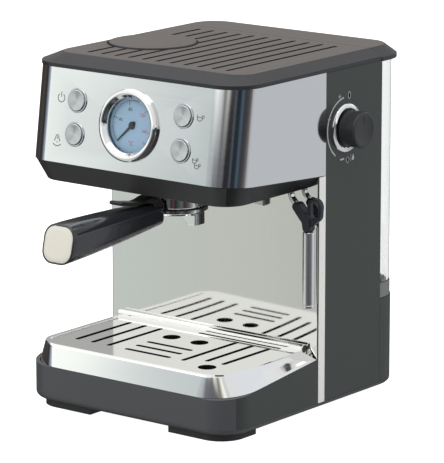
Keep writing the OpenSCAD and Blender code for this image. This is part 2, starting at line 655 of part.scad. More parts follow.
module inlet_hose() place() color([0.9, 0.9, 0.88, 0.6]) {
    translate([pump_x, 226, 35 + bend_r]) cylinder(r = hose_r, h = shelf_z - 12 - 35 - bend_r);
    translate([pump_x, 226, shelf_z - 12]) ring(10.3, 2.5, 0, 8);
    translate([pump_x, 226, 35 + bend_r]) rotate([0, 180, 90]) bend(hose_r);
    translate([pump_x, 226 - bend_r, 35]) rotate([90, 0, 0]) cylinder(r = hose_r, h = 226 - pump_y - 2 * bend_r);
    translate([pump_x, pump_y, 35 + bend_r]) rotate([0, 180, -90]) bend(hose_r);
    translate([pump_x, pump_y, 35 + bend_r]) cylinder(r = hose_r, h = 2.95);
}

module pressure_hose() place() color([0.9, 0.9, 0.9, 0.6]) {
    translate([pump_x, pump_y, 118.05]) cylinder(r = hose_r, h = 246 - bend_r - 118.05);
    translate([pump_x, pump_y, 246 - bend_r]) rotate([0, 0, -90]) bend(hose_r);
    translate([pump_x, pump_y - bend_r, 246]) rotate([90, 0, 0])
        cylinder(r = hose_r, h = pump_y - bend_r - group_y - boiler_r - 4.05);
}

module steam_hose() place() color([0.9, 0.9, 0.9, 0.6]) {
    z = 246;
    y0 = group_y + boiler_r + 4.05;
    translate([20, y0, z]) rotate([-90, 0, 0]) cylinder(r = hose_r, h = knob_y - bend_r - y0);
    translate([20, knob_y - bend_r, z]) rotate([-90, 0, 0]) bend(hose_r);
    translate([20 + bend_r, knob_y, z]) rotate([0, 90, 0]) cylinder(r = hose_r, h = valve_x - 16.05 - 20 - bend_r);
    translate([wand_x, knob_y, 220 + bend_r]) cylinder(r = hose_r, h = knob_z - 9.05 - 220 - bend_r);
    translate([wand_x, knob_y, 220 + bend_r]) rotate([0, 180, 90]) bend(hose_r);
    translate([wand_x, knob_y - bend_r, 220]) rotate([90, 0, 0]) cylinder(r = hose_r, h = knob_y - wand_y - 2 * bend_r);
    translate([wand_x, wand_y, 220 - bend_r]) rotate([0, 0, 90]) bend(hose_r);
    translate([wand_x, wand_y, 206.05]) cylinder(r = hose_r, h = 220 - bend_r - 206.05);
}

module control_board() place() color([0.12, 0.42, 0.26]) {
    translate([20, 194, 60]) cube([75, 1.6, 90]);
    translate([30, 180, 70]) cube([22, 13.98, 26]);
    translate([62, 184, 110]) cube([24, 9.98, 18]);
}

base_pan();
feet();
pan_screws();
rear_base();
backsplash();
side_panel_left();
side_panel_right();
rear_panel();
rear_screws();
head_wrap();
head_bottom_cover();
top_cover();
top_disc();
gauge_bezel();
gauge_case();
gauge_dial();
gauge_needle();
gauge_lens();
button_collars();
button_power();
button_steam();
button_cup();
button_double();
button_switches();
switch_board();
knob_ring();
steam_knob();
valve_spindle();
steam_valve();
group_head();
shower_screen();
group_gasket();
boiler_lower();
boiler_upper();
boiler_bolts();
heating_element();
thermostat();
portafilter_body();
portafilter_spout();
filter_basket();
portafilter_handle();
handle_cap();
basket_clip();
wand_socket();
wand_pipe();
wand_grip();
frothing_sleeve();
drip_tray();
drip_grille();
water_tank();
tank_valve();
tank_filter();
tank_lid();
pump();
pump_mounts();
inlet_hose();
pressure_hose();
steam_hose();
control_board();
cord_gland();
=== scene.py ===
"""Looks of the espresso machine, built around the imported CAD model."""
import json
import math

import bmesh
import bpy
from mathutils import Matrix, Vector

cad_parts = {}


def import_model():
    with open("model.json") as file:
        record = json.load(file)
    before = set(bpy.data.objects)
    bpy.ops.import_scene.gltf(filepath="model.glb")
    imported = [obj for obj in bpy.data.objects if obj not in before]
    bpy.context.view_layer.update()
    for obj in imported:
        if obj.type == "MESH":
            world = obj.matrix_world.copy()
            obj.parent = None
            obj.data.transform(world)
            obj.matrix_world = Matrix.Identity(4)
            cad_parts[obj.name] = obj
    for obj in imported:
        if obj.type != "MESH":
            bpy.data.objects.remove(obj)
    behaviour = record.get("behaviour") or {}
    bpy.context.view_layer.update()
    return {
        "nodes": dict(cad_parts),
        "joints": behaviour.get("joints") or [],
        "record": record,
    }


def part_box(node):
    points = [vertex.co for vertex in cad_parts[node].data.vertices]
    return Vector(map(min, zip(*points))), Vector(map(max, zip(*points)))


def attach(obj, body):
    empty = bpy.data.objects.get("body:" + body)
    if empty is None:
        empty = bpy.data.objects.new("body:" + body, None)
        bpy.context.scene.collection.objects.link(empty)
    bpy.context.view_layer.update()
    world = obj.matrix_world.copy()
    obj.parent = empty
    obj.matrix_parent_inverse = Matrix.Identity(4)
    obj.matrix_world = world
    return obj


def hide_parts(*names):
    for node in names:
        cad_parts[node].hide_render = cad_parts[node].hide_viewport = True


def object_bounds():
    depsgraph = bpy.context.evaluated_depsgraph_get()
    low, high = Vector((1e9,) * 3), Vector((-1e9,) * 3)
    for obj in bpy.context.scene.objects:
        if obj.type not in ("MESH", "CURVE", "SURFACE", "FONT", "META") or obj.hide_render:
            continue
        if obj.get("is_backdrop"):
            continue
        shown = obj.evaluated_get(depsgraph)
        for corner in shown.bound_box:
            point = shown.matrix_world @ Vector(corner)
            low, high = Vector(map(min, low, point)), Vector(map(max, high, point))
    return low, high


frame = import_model()

MM = 0.001
NODES = frame["nodes"]
JOINT = {j["name"]: j for j in frame["joints"]}


# ------------------------------------------------------------------ places taken from the frame
# All lengths below are millimetres in the machine's own axes: x from the middle plane, y back from
# the base's front, z up from the table.
PAN_LO, PAN_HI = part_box("base_pan")
ORIGIN = Vector(((PAN_LO.x + PAN_HI.x) / 2, PAN_LO.y, 0.0))


def at(x, y, z):
    return ORIGIN + Vector((x, y, z)) * MM


def mm(v):
    return (Vector(v) - ORIGIN) / MM


class Box:
    """A CAD node's box in machine millimetres."""

    def __init__(self, node):
        lo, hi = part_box(node)
        self.lo, self.hi = mm(lo), mm(hi)
        self.mid = (self.lo + self.hi) / 2
        self.size = self.hi - self.lo


def joint_point(name):
    return mm(JOINT[name]["pos_m"])


HALF_W = Box("base_pan").size.x / 2
WRAP, UNDER, COVER, LID = Box("head_wrap"), Box("head_bottom_cover"), Box("top_cover"), Box("tank_lid")
TRAY, GRILLE, SPLASH = Box("drip_tray"), Box("drip_grille"), Box("backsplash")
TANK = Box("water_tank")
GAUGE, NEEDLE = joint_point("needle_sweep"), JOINT["needle_sweep"]
KNOB = joint_point("knob_turn")
GROUP = joint_point("portafilter_lock")
CLIP = joint_point("clip_flip")
WAND = joint_point("wand_swivel")
SLEEVE = Box("frothing_sleeve")
TILT = math.atan2(-NEEDLE["axis"][2], NEEDLE["axis"][1])
FRONT_R, REAR_R = 28.0, 30.0
SHEET = 1.0
WALL = 2.5
# Turns an outline drawn as (depth, height) so that its prism runs along the machine's x axis.
ACROSS = Matrix(((0, 0, 1), (1, 0, 0), (0, 1, 0))).to_4x4()
# Turns an outline drawn as (x, height) so that its prism runs forwards.
UPRIGHT = Matrix.Rotation(math.pi / 2, 4, "X")


# ------------------------------------------------------------------ mesh helpers
def link(obj):
    bpy.context.scene.collection.objects.link(obj)
    return obj


def mark_sharp(mesh, angle=32):
    """Smooth shading, with the edges sharper than angle kept crisp."""
    bm = bmesh.new()
    bm.from_mesh(mesh)
    limit = math.radians(angle)
    for f in bm.faces:
        f.smooth = True
    for e in bm.edges:
        e.smooth = not (len(e.link_faces) == 2 and e.calc_face_angle(0.0) > limit)
    bm.to_mesh(mesh)
    bm.free()


def piece(
    name, solid, material, body, nodes=(), matrix=None, angle=32, bevel=0.0, segments=2,
):
    """A closed mesh from machine-millimetre points, or from local points with a matrix."""
    verts, faces = solid
    mesh = bpy.data.meshes.new(name)
    points = [Vector(v) * MM for v in verts] if matrix else [at(*v) for v in verts]
    mesh.from_pydata(points, [], faces)
    bm = bmesh.new()
    bm.from_mesh(mesh)
    bmesh.ops.remove_doubles(bm, verts=bm.verts, dist=1e-6)
    bmesh.ops.recalc_face_normals(bm, faces=bm.faces)
    bm.to_mesh(mesh)
    bm.free()
    mark_sharp(mesh, angle)
    obj = link(bpy.data.objects.new(name, mesh))
    if matrix:
        obj.matrix_world = matrix
    if material:
        mesh.materials.append(material)
    if bevel:
        add_bevel(obj, bevel, segments)
    if body:
        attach(obj, body)
    if nodes:
        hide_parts(*nodes)
    return obj


def add_bevel(obj, width, segments=2, angle=32):
    mod = obj.modifiers.new("edge", "BEVEL")
    mod.width = width * MM
    mod.segments = segments
    mod.limit_method = "ANGLE"
    mod.angle_limit = math.radians(angle)
    mod.harden_normals = True


def bake(obj):
    """Applies the object's modifiers to its mesh."""
    bpy.context.view_layer.update()
    graph = bpy.context.evaluated_depsgraph_get()
    mesh = bpy.data.meshes.new_from_object(obj.evaluated_get(graph))
    obj.modifiers.clear()
    obj.data = mesh


def cut(obj, cutters, operation="DIFFERENCE"):
    for cutter in cutters:
        mod = obj.modifiers.new("cut", "BOOLEAN")
        mod.operation = operation
        mod.solver = "EXACT"
        mod.object = cutter
        bake(obj)
        bpy.data.objects.remove(cutter)
    mark_sharp(obj.data)


def paint(obj, material, where):
    """A second finish on the faces for which where(normal, centre in mm) holds."""
    obj.data.materials.append(material)
    for p in obj.data.polygons:
        if where(p.normal, mm(p.center)):
            p.material_index = 1


def arc(cx, cy, r, a0, a1, n=16):
    """Points of an arc from angle a0 to a1, in degrees."""
    turns = [math.radians(a0 + (a1 - a0) * i / n) for i in range(n + 1)]
    return [(cx + r * math.cos(a), cy + r * math.sin(a)) for a in turns]


def plan(x0, x1, y0, y1, front, rear, n=14):
    """Plan outline with rounded corners, anticlockwise; every corner has n + 1 points."""
    corners = [
        (x0 + front, y0 + front, front, 180),
        (x1 - front, y0 + front, front, 270),
        (x1 - rear, y1 - rear, rear, 0),
        (x0 + rear, y1 - rear, rear, 90),
    ]
    return [p for cx, cy, r, start in corners for p in arc(cx, cy, r, start, start + 90, n)]


def level(outline, z):
    """Lifts a plan outline to height z, a number or a function of depth."""
    return [(x, y, z(y) if callable(z) else z) for x, y in outline]


def loft(rings, closed=False):
    """Skins a row of rings; closed joins the last to the first, else both ends are capped."""
    n, count = len(rings[0]), len(rings)
    verts = [p for ring in rings for p in ring]
    faces = []
    for r in range(count if closed else count - 1):
        a, b = r * n, ((r + 1) % count) * n
        for i in range(n):
            j = (i + 1) % n
            faces.append((a + i, a + j, b + j, b + i))
    if not closed:
        faces.append(tuple(reversed(range(n))))
        faces.append(tuple(range((count - 1) * n, count * n)))
    return verts, faces


def lathe(profile, n=96, closed=False):
    """Turns a (radius, height) profile about local Z; closed for a ring-shaped solid."""
    rings = []
    for r, z in profile:
        r = max(r, 1e-4)
        turns = [2 * math.pi * i / n for i in range(n)]
        rings.append([(r * math.cos(a), r * math.sin(a), z) for a in turns])
    return loft(rings, closed)


def turned(name, profile, centre, axis, material, body, nodes=(), n=96, closed=False, angle=32):
    """A turned piece: its profile runs along axis from centre."""
    turn = Vector((0, 0, 1)).rotation_difference(Vector(axis).normalized()).to_matrix().to_4x4()
    matrix = Matrix.Translation(at(*centre)) @ turn
    return piece(name, lathe(profile, n, closed), material, body, nodes, matrix, angle)


def prism(outline, depth):
    """Closed prism over a 2D outline: local XY outline, local Z from 0 to depth."""
    n = len(outline)
    verts = [(x, y, 0) for x, y in outline] + [(x, y, depth) for x, y in outline]
    faces = [tuple(reversed(range(n))), tuple(range(n, 2 * n))]
    faces += [(i, (i + 1) % n, n + (i + 1) % n, n + i) for i in range(n)]
    return verts, faces


def stadium(x0, y0, x1, y1, w, n=10):
    """Round-ended slot outline between two points."""
    a = math.degrees(math.atan2(y1 - y0, x1 - x0))
    return arc(x1, y1, w / 2, a - 90, a + 90, n) + arc(x0, y0, w / 2, a + 90, a + 270, n)


def merge(parts):
    """Joins (verts, faces) pairs into one."""
    verts, faces = [], []
    for v, f in parts:
        base = len(verts)
        verts += v
        faces += [tuple(base + i for i in face) for face in f]
    return verts, faces


def cutter(parts, matrix=None):
    return piece("cutter", merge(parts), None, None, matrix=matrix)


def shifted(solid, dx=0.0, dy=0.0, dz=0.0):
    verts, faces = solid
    return [(x + dx, y + dy, z + dz) for x, y, z in verts], faces


def panel_matrix(x=0.0, up=0.0, out=0.0):
    """Local frame on the control panel: X across, Y up the panel, Z outwards."""
    c, s = math.cos(TILT), math.sin(TILT)
    base = Vector((x, WRAP.lo.y + up * s - out * c, PANEL_Z + up * c + out * s))
    m = Matrix(((1, 0, 0), (0, s, -c), (0, c, s))).to_4x4()
    return Matrix.Translation(at(*base)) @ m


def side_matrix(y=0.0, z=0.0, out=0.0):
    """Local frame on the right side: X towards the back, Y up, Z outwards."""
    return Matrix.Translation(at(HALF_W + out, y, z)) @ ACROSS


# Height of the wrap's lower edge at the front, from where it runs straight down to the back.
PANEL_Z = 213.0
PANEL_T = (GAUGE.z - PANEL_Z) / math.cos(TILT)
EDGE_SLOPE = (PANEL_Z - WRAP.lo.z) / (WRAP.hi.y - WRAP.lo.y)
# The tray's rim rises from its front height to its highest point over this depth.
RIM_FRONT, RIM_DEPTH = 36.5, 119.3
RIM_SLOPE = (TRAY.hi.z - RIM_FRONT) / RIM_DEPTH


def wrap_edge(y):
    return PANEL_Z - (y - WRAP.lo.y) * EDGE_SLOPE


def tray_edge(y):
    return RIM_FRONT + max(y, 0.0) * RIM_SLOPE


# ------------------------------------------------------------------ materials
def nodes_of(name):
    mat = bpy.data.materials.new(name)
    mat.use_nodes = True
    tree = mat.node_tree
    bsdf = tree.nodes["Principled BSDF"]
    return mat, tree, bsdf


def finish(
    name, colour, metal=0.0, rough=0.4, rough_var=0.05, colour_var=0.04, scale=60.0, stretch=(1, 1, 1),
    grain=0.0, grain_scale=2500.0, coat=0.0, coat_rough=0.1, transmission=0.0, ior=1.45, anisotropic=0.0,
):
    """A procedural finish: soft colour and roughness variation and a fine surface grain."""
    mat, tree, bsdf = nodes_of(name)
    add, wire = tree.nodes.new, tree.links.new
    coords = add("ShaderNodeTexCoord")
    mapping = add("ShaderNodeMapping")
    mapping.inputs["Scale"].default_value = stretch
    wire(coords.outputs["Object"], mapping.inputs["Vector"])
    noise = add("ShaderNodeTexNoise")
    noise.inputs["Scale"].default_value = scale
    noise.inputs["Detail"].default_value = 4.0
    wire(mapping.outputs["Vector"], noise.inputs["Vector"])
    ramp = add("ShaderNodeMix")
    ramp.data_type = "RGBA"
    low = [max(0.0, c * (1 - colour_var)) for c in colour]
    high = [min(1.0, c * (1 + colour_var)) for c in colour]
    ramp.inputs["A"].default_value = (*low, 1)
    ramp.inputs["B"].default_value = (*high, 1)
    wire(noise.outputs["Fac"], ramp.inputs["Factor"])
    wire(ramp.outputs["Result"], bsdf.inputs["Base Color"])
    rough_map = add("ShaderNodeMapRange")
    rough_map.inputs["To Min"].default_value = max(0.01, rough - rough_var)
    rough_map.inputs["To Max"].default_value = min(1.0, rough + rough_var)
    wire(noise.outputs["Fac"], rough_map.inputs["Value"])
    wire(rough_map.outputs["Result"], bsdf.inputs["Roughness"])
    if grain:
        fine = add("ShaderNodeTexNoise")
        fine.inputs["Scale"].default_value = grain_scale
        fine.inputs["Detail"].default_value = 2.0
        wire(mapping.outputs["Vector"], fine.inputs["Vector"])
        bump = add("ShaderNodeBump")
        bump.inputs["Strength"].default_value = grain
        bump.inputs["Distance"].default_value = 0.0001
        wire(fine.outputs["Fac"], bump.inputs["Height"])
        wire(bump.outputs["Normal"], bsdf.inputs["Normal"])
    uniform = {
        "Metallic": metal, "Coat Weight": coat, "Coat Roughness": coat_rough,
        "Transmission Weight": transmission, "IOR": ior,
    }
    for socket, value in uniform.items():
        bsdf.inputs[socket].default_value = value
    if anisotropic:
        bsdf.inputs["Anisotropic"].default_value = anisotropic
        tangent = add("ShaderNodeTangent")
        tangent.direction_type = "RADIAL"
        tangent.axis = "Z"
        wire(tangent.outputs["Tangent"], bsdf.inputs["Tangent"])
    return mat


MOULDED = {"grain": 0.25, "grain_scale": 3500, "colour_var": 0.05, "scale": 30}
FINE = {"grain": 0.3, "grain_scale": 3500}
BRUSHED = {"metal": 1.0, "rough_var": 0.02, "grain": 0.02, "grain_scale": 700, "colour_var": 0.015}
CLEAR = {"rough_var": 0.01, "transmission": 1.0}

COVER_DARK = finish("cover_dark", (0.042, 0.05, 0.045), rough=0.42, **MOULDED)
# Lighter copy of the cover plastic: painted light for faces turned to the front, also used all over the base
# pan.
COVER_LIT_COPY = finish("cover_lit_copy", (0.074, 0.077, 0.085), rough=0.42, **MOULDED)
COVER_BLACK = finish("cover_black", (0.037, 0.037, 0.0375), rough=0.4, colour_var=0.06, scale=30, **FINE)
# Painted sheen: a lighter, warmer copy of the dark top plastic for the flat top's upward faces, standing in
# for a reflection.
TOP_PAINTED_SHEEN = finish("top_painted_sheen", (0.115, 0.1, 0.094), rough=0.45, colour_var=0.04, scale=25, **FINE)
TOP_EDGE = finish("top_edge", (0.027, 0.028, 0.032), rough=0.36, colour_var=0.05, scale=30, **FINE)
STEEL_HEAD = finish("steel_head", (0.74, 0.755, 0.755), rough=0.07, scale=9, stretch=(1, 1, 60), **BRUSHED)
STEEL_GRILLE = finish("steel_grille", (0.88, 0.88, 0.87), rough=0.08, scale=10, stretch=(1, 30, 1), **BRUSHED)
STEEL_SPLASH = finish(
    "steel_splash", (0.76, 0.76, 0.745), metal=1.0, rough=0.05, rough_var=0.02, colour_var=0.012,
    scale=12, stretch=(40, 1, 1), grain=0.012, grain_scale=500,
)
STEEL_BEAD = finish("steel_bead", (0.97, 0.97, 0.96), metal=0.6, rough=0.35, colour_var=0.02)
# Painted highlight: pale finish for the bright band on the backsplash's folded side returns.
RETURN_PAINTED_HIGHLIGHT = finish("return_painted_highlight", (0.98, 0.97, 0.93), rough=0.4, colour_var=0.02, scale=40, grain=0.1)
CHROME = finish(
    "chrome", (0.83, 0.835, 0.84), metal=1.0, rough=0.05, rough_var=0.02, colour_var=0.01, scale=40,
)
SLEEVE_STEEL = finish(
    "sleeve_steel", (0.86, 0.865, 0.88), metal=1.0, rough=0.3, rough_var=0.03, colour_var=0.02,
    scale=15, stretch=(40, 40, 1),
)
SPUN = finish(
    "spun_steel", (0.54, 0.56, 0.57), metal=1.0, rough=0.3, rough_var=0.03, colour_var=0.03,
    scale=900, anisotropic=0.92,
)
COLLAR = finish("collar_steel", (0.5, 0.52, 0.56), metal=1.0, rough=0.18, rough_var=0.03, colour_var=0.02)
DIAL = finish("dial_blue", (0.4, 0.58, 0.74), rough=0.5, rough_var=0.03, colour_var=0.02)
BLACK = finish("ink_black", (0.02, 0.022, 0.028), rough=0.35, colour_var=0.1, scale=80)
RED = finish("ink_red", (0.5, 0.06, 0.09), rough=0.5, colour_var=0.08, scale=200)
INK_GREY = finish("ink_grey", (0.16, 0.16, 0.155), rough=0.6, colour_var=0.1, scale=400)
INK_PALE = finish("ink_pale", (0.52, 0.53, 0.53), rough=0.6, colour_var=0.08, scale=400)
CASE = finish("case_grey", (0.08, 0.1, 0.12), rough=0.35, colour_var=0.1, scale=80)
GLASS = finish("lens_glass", (0.96, 0.98, 1.0), rough=0.02, colour_var=0.0, ior=1.2, **CLEAR)
TANK_CLEAR = finish("tank_clear", (0.95, 0.96, 0.965), rough=0.03, colour_var=0.005, ior=1.4, **CLEAR)
TANK_BASE = finish("tank_base", (0.2, 0.21, 0.205), rough=0.3, colour_var=0.05)
TANK_EDGE = finish("tank_edge", (0.03, 0.032, 0.032), rough=0.25, colour_var=0.08)
KNOB_DARK = finish(
    "knob_dark", (0.03, 0.031, 0.034), rough=0.42, grain=0.25, grain_scale=4000, colour_var=0.08,
)
HANDLE = finish(
    "handle_gloss", (0.021, 0.023, 0.028), rough=0.2, rough_var=0.03, colour_var=0.06, scale=30,
    coat=0.4, coat_rough=0.08,
)
CAP = finish("cap_cream", (0.8, 0.765, 0.68), rough=0.45, colour_var=0.02, scale=40, grain=0.15)
GRIP = finish("grip_rubber", (0.012, 0.015, 0.026), rough=0.38, grain=0.3, grain_scale=3000, colour_var=0.12)
CLIP_BLACK = finish("clip_black", (0.012, 0.013, 0.014), rough=0.35, colour_var=0.1, grain=0.15)
RUBBER = finish("foot_rubber", (0.03, 0.03, 0.032), rough=0.6, grain=0.4, colour_var=0.1)
# Painted shade: near-black finish for the grille's slot walls.
SLOT_PAINTED_SHADE = finish("slot_painted_shade", (0.035, 0.035, 0.033), metal=0.6, rough=0.5, colour_var=0.1, scale=300)
BRASS = finish("brass", (0.6, 0.42, 0.16), metal=1.0, rough=0.3, colour_var=0.06, scale=90)
ALLOY = finish(
    "boiler_alloy", (0.6, 0.6, 0.59), metal=1.0, rough=0.5, colour_var=0.06, grain=0.5, grain_scale=900,
)
ELEMENT = finish("element_sheath", (0.35, 0.26, 0.19), metal=1.0, rough=0.4, colour_var=0.15, scale=120)
BOARD = finish("board_green", (0.02, 0.14, 0.07), rough=0.35, colour_var=0.12, scale=300)
HOSE = finish("hose_milky", (0.75, 0.75, 0.7), rough=0.45, colour_var=0.04, transmission=0.3)
PUMP = finish("pump_body", (0.6, 0.58, 0.52), rough=0.5, colour_var=0.05, grain=0.2)
VALVE = finish("valve_red", (0.35, 0.05, 0.03), rough=0.6, colour_var=0.1)
FILTER = finish("filter_white", (0.8, 0.8, 0.77), rough=0.6, colour_var=0.04, grain=0.4, grain_scale=1500)

SLOT_LOOK = {
    "cover_dark": COVER_DARK, "cover_black": COVER_BLACK, "top_satin": TOP_EDGE, "foot_rubber": RUBBER,
    "steel_mirror": STEEL_SPLASH, "steel_head": STEEL_HEAD, "chrome": CHROME, "spun_steel": SLEEVE_STEEL,
    "dial": DIAL, "needle_black": BLACK, "case_dark": CASE, "lens_clear": GLASS, "tank_clear": TANK_CLEAR,
    "knob_dark": KNOB_DARK, "handle_gloss": HANDLE, "clip_black": CLIP_BLACK, "cap_cream": CAP,
    "grip_rubber": GRIP, "brass": BRASS, "boiler_alloy": ALLOY, "element_sheath": ELEMENT,
    "board_green": BOARD, "hose_milky": HOSE, "pump_body": PUMP, "valve_red": VALVE, "filter_white": FILTER,
}
SLOT_OF = {s["node"]: s["material_slot"] for s in frame["record"]["subparts"]}


def dress_cad():
    """Every CAD node gets its slot's procedural finish; the clear tank's rear corners are dark."""
    for node, obj in NODES.items():
        obj.data.materials.clear()
        obj.data.materials.append(SLOT_LOOK[SLOT_OF[node]])
    corner_x, corner_y, foot_z = TANK.hi.x - 3, TANK.hi.y - 5, TANK.lo.z + 12
    paint(
        NODES["water_tank"], TANK_EDGE,
        lambda n, c: abs(c.x) > corner_x and c.y > corner_y and c.z > foot_z,
    )
    edges = {"rear_base": 0.8, "feet": 0.8, "side_panel_left": 0.25, "side_panel_right": 0.25}
    for node, width in edges.items():
        add_bevel(NODES[node], width, 3, 40)


# ------------------------------------------------------------------ head
def head_wrap():
    """Steel sheet round the head: front leaning back, upright sides, sloping lower edge."""
    c, s = math.cos(TILT), math.sin(TILT)

    def column(x, yl, z_top):
        """Lower and upper point of the sheet at panel-plan position (x, yl)."""
        low = yl * (s - EDGE_SLOPE * c) / (c + EDGE_SLOPE * s)
        high = (z_top - PANEL_Z + yl * s) / c
        return [(x, WRAP.lo.y + yl * c + k * s, PANEL_Z - yl * s + k * c) for k in (low, high)]

    def path(inset):
        w, r = HALF_W - inset, FRONT_R - inset
        back, top = WRAP.hi.y, WRAP.hi.z
        columns = [[(-w, back, wrap_edge(back)), (-w, back, top)]]
        for cx, start in ((-w + r, 180), (w - r, 270)):
            columns += [column(x, y, top) for x, y in arc(cx, inset + r, r, start, start + 90, 28)]
        columns.append([(w, back, wrap_edge(back)), (w, back, top)])
        return columns

    outer, inner = path(0.0), path(SHEET)
    sheet = loft([[o[0], o[1], i[1], i[0]] for o, i in zip(outer, inner)])
    obj = piece("head_wrap_sheet", sheet, STEEL_HEAD, "body", ["head_wrap"])
    gauge_hole = Box("gauge_case").size.x / 2 + 0.3
    holes = [(GAUGE.x, PANEL_T, gauge_hole)] + [(x, up, BUTTON_R + 0.9) for x, up in BUTTONS]
    cut(obj, [cutter([lathe([(r, -5), (r, 5)], 72)], panel_matrix(x, up)) for x, up, r in holes])
    add_bevel(obj, 0.25, 2, 40)


BUTTON_NODES = ("button_power", "button_steam", "button_cup", "button_double")
BUTTON_BODIES = ("power_button", "steam_button", "cup_button", "double_button")
BUTTON_R = Box("button_power").size.x / 2
BUTTON_OUT = 2.0


def panel_up(node):
    """How far up the panel a button's outer face has its centre."""
    return (Box(node).hi.z - PANEL_Z - BUTTON_OUT * math.sin(TILT)) / math.cos(TILT) - BUTTON_R


BUTTONS = [(Box(n).mid.x, panel_up(n)) for n in BUTTON_NODES]


def buttons():
    """Slightly domed spun caps, each in its raised collar ring."""
    r, face = BUTTON_R, BUTTON_OUT
    cap = [(3, -8.8), (3, -2.2), (r, -2.2), (r, face - 0.5), (r - 0.15, face - 0.2), (r - 0.5, face)]
    cap += [(k * (r - 0.5) / 8, face - 0.28 * (1 - (k / 8) ** 2)) for k in range(7, 0, -1)]
    for (x, up), node, body in zip(BUTTONS, BUTTON_NODES, BUTTON_BODIES):
        piece(node + "_cap", lathe(cap), SPUN, body, [node], panel_matrix(x, up), angle=25)
    ri, ro = r + 0.1, r + 1.6
    foot = [(ri, -4), (ro - 0.8, -4), (ro - 0.8, 0.05), (ro, 0.05)]
    collar = foot + [(ro, 0.5), (ro - 0.35, 0.9), (ri + 0.35, 0.9), (ri, 0.55)]
    rings = merge([shifted(lathe(collar, closed=True), x, up) for x, up in BUTTONS])
    piece("button_collar_rings", rings, COLLAR, "body", ["button_collars"], panel_matrix(), angle=25)


def head_bottom():
    """Moulded underside, drawn in below the wrap, with holes for the group and the wand."""
    w, back, low = HALF_W - 0.6, UNDER.hi.y, UNDER.lo.z
    front = WRAP.lo.y + 0.6

    def seam(y):
        return wrap_edge(y) - 0.2

    shell = loft([
        level(plan(-w + 11.9, w - 11.9, 14.5, back - WALL, 18, 0.6), low + WALL),
        level(plan(-w + WALL, w - WALL, front + WALL, back - WALL, FRONT_R - 3.1, 0.6), seam),
        level(plan(-w, w, front, back, FRONT_R - 0.6, 0.6), seam),
        level(plan(-w + 8.9, w - 8.9, 11.5, back, 21, 0.6), low),
    ])
    obj = piece("head_underside", shell, COVER_BLACK, "body", ["head_bottom_cover"])
    group_hole, wand_hole = 25.5, 6.3
    for centre, r, n in ((GROUP, group_hole, 72), (WAND, wand_hole, 48)):
        hole = lathe([(r, low - 3), (r, low + 9)], n)
        cut(obj, [cutter([shifted(hole, centre.x, centre.y)])])
    # Painted shade: the underside's sideways-facing faces take the darker clip black.
    paint(obj, CLIP_BLACK, lambda n, c: abs(n.x) > 0.55 and c.z < UNDER.hi.z - 2)
    add_bevel(obj, 0.9, 3, 20)


# ------------------------------------------------------------------ top
RIM_Z = 294.0
FLAT_W = HALF_W - 12
FLAT_Y = 32.6
DISC = Box("top_disc")
GROOVES = 11
GROOVE_PITCH = 14.6
GROOVE_Y = (44.0, 196.0)


def two_tone(obj, top):
    """Painted sheen: the flat top's upward faces take a lighter, warmer finish that stands in for a warm
    reflection.
    """
    paint(obj, TOP_PAINTED_SHEEN, lambda n, c: n.z > 0.98 and c.z > top - 0.06)


def top_cover():
    w, y0, y1 = COVER.size.x / 2, COVER.lo.y, COVER.hi.y
    z0, top = COVER.lo.z, COVER.hi.z
    rings = [
        level(plan(-FLAT_W + 3, FLAT_W - 3, FLAT_Y + 3, y1 - WALL, 14, 0.5), top - WALL),
        level(plan(-w + WALL, w - WALL, y0 + WALL, y1 - WALL, FRONT_R - WALL, 0.5), RIM_Z - 1.5),
        level(plan(-w + WALL, w - WALL, y0 + WALL, y1 - WALL, FRONT_R - WALL, 0.5), z0),
        level(plan(-w, w, y0, y1, FRONT_R, 0.5), z0),
        level(plan(-w, w, y0, y1, FRONT_R, 0.5), RIM_Z),
        level(plan(-FLAT_W, FLAT_W, FLAT_Y, y1, 17, 0.5), top),
    ]
    obj = piece("top_cover_shell", loft(rings), TOP_EDGE, "body", ["top_cover"])
    slots = []
    for i in range(GROOVES):
        x = (i - (GROOVES - 1) / 2) * GROOVE_PITCH
        outline = stadium(x, GROOVE_Y[0] + 1.9, x, GROOVE_Y[1] - 1.9, 3.8)
        slots.append(shifted(prism(outline, 3), dz=top - 1.2))
    r = DISC.size.x / 2 + 1.4
    recess = shifted(lathe([(r, top - 1.4), (r, top + 3)], 128), DISC.mid.x, DISC.mid.y)
    cut(obj, [cutter(slots), cutter([recess])])
    two_tone(obj, top)
    add_bevel(obj, 0.35, 2, 18)


def top_disc():
    r, z0, z1 = DISC.size.x / 2, DISC.lo.z, DISC.hi.z
    profile = [(r, z0), (r, z1 - 0.7), (r - 0.25, z1 - 0.2), (r - 0.9, z1), (1, z1)]
    disc = shifted(lathe(profile, 128), DISC.mid.x, DISC.mid.y)
    obj = piece("top_disc_plate", disc, TOP_EDGE, "body", ["top_disc"], angle=40)
    two_tone(obj, z1)


def tank_lid():
    w, y0, y1 = LID.size.x / 2, LID.lo.y, LID.hi.y
    z0, top = LID.lo.z, LID.hi.z
    rim = RIM_Z - 1
    rings = [
        level(plan(-w + 8, w - 8, y0 + WALL, y1 - 9, 0.5, REAR_R - 9), top - WALL - 1.5),
        level(plan(-w + 4.5, w - 4.5, y0 + WALL, y1 - 6, 0.5, REAR_R - 6), rim - 2),
        level(plan(-w + 4.5, w - 4.5, y0 + WALL, y1 - 6, 0.5, REAR_R - 6), z0),
        level(plan(-w, w, y0 + 0.5, y1, 0.5, REAR_R), z0),
        level(plan(-w, w, y0 + 0.5, y1, 0.5, REAR_R), rim),
        level(plan(-FLAT_W, FLAT_W, y0 + 0.5, y1 - 6, 0.5, REAR_R - 8), top),
    ]
    obj = piece("tank_lid_shell", loft(rings), TOP_EDGE, "lid", ["tank_lid"])
    two_tone(obj, top)
    add_bevel(obj, 0.35, 2, 18)


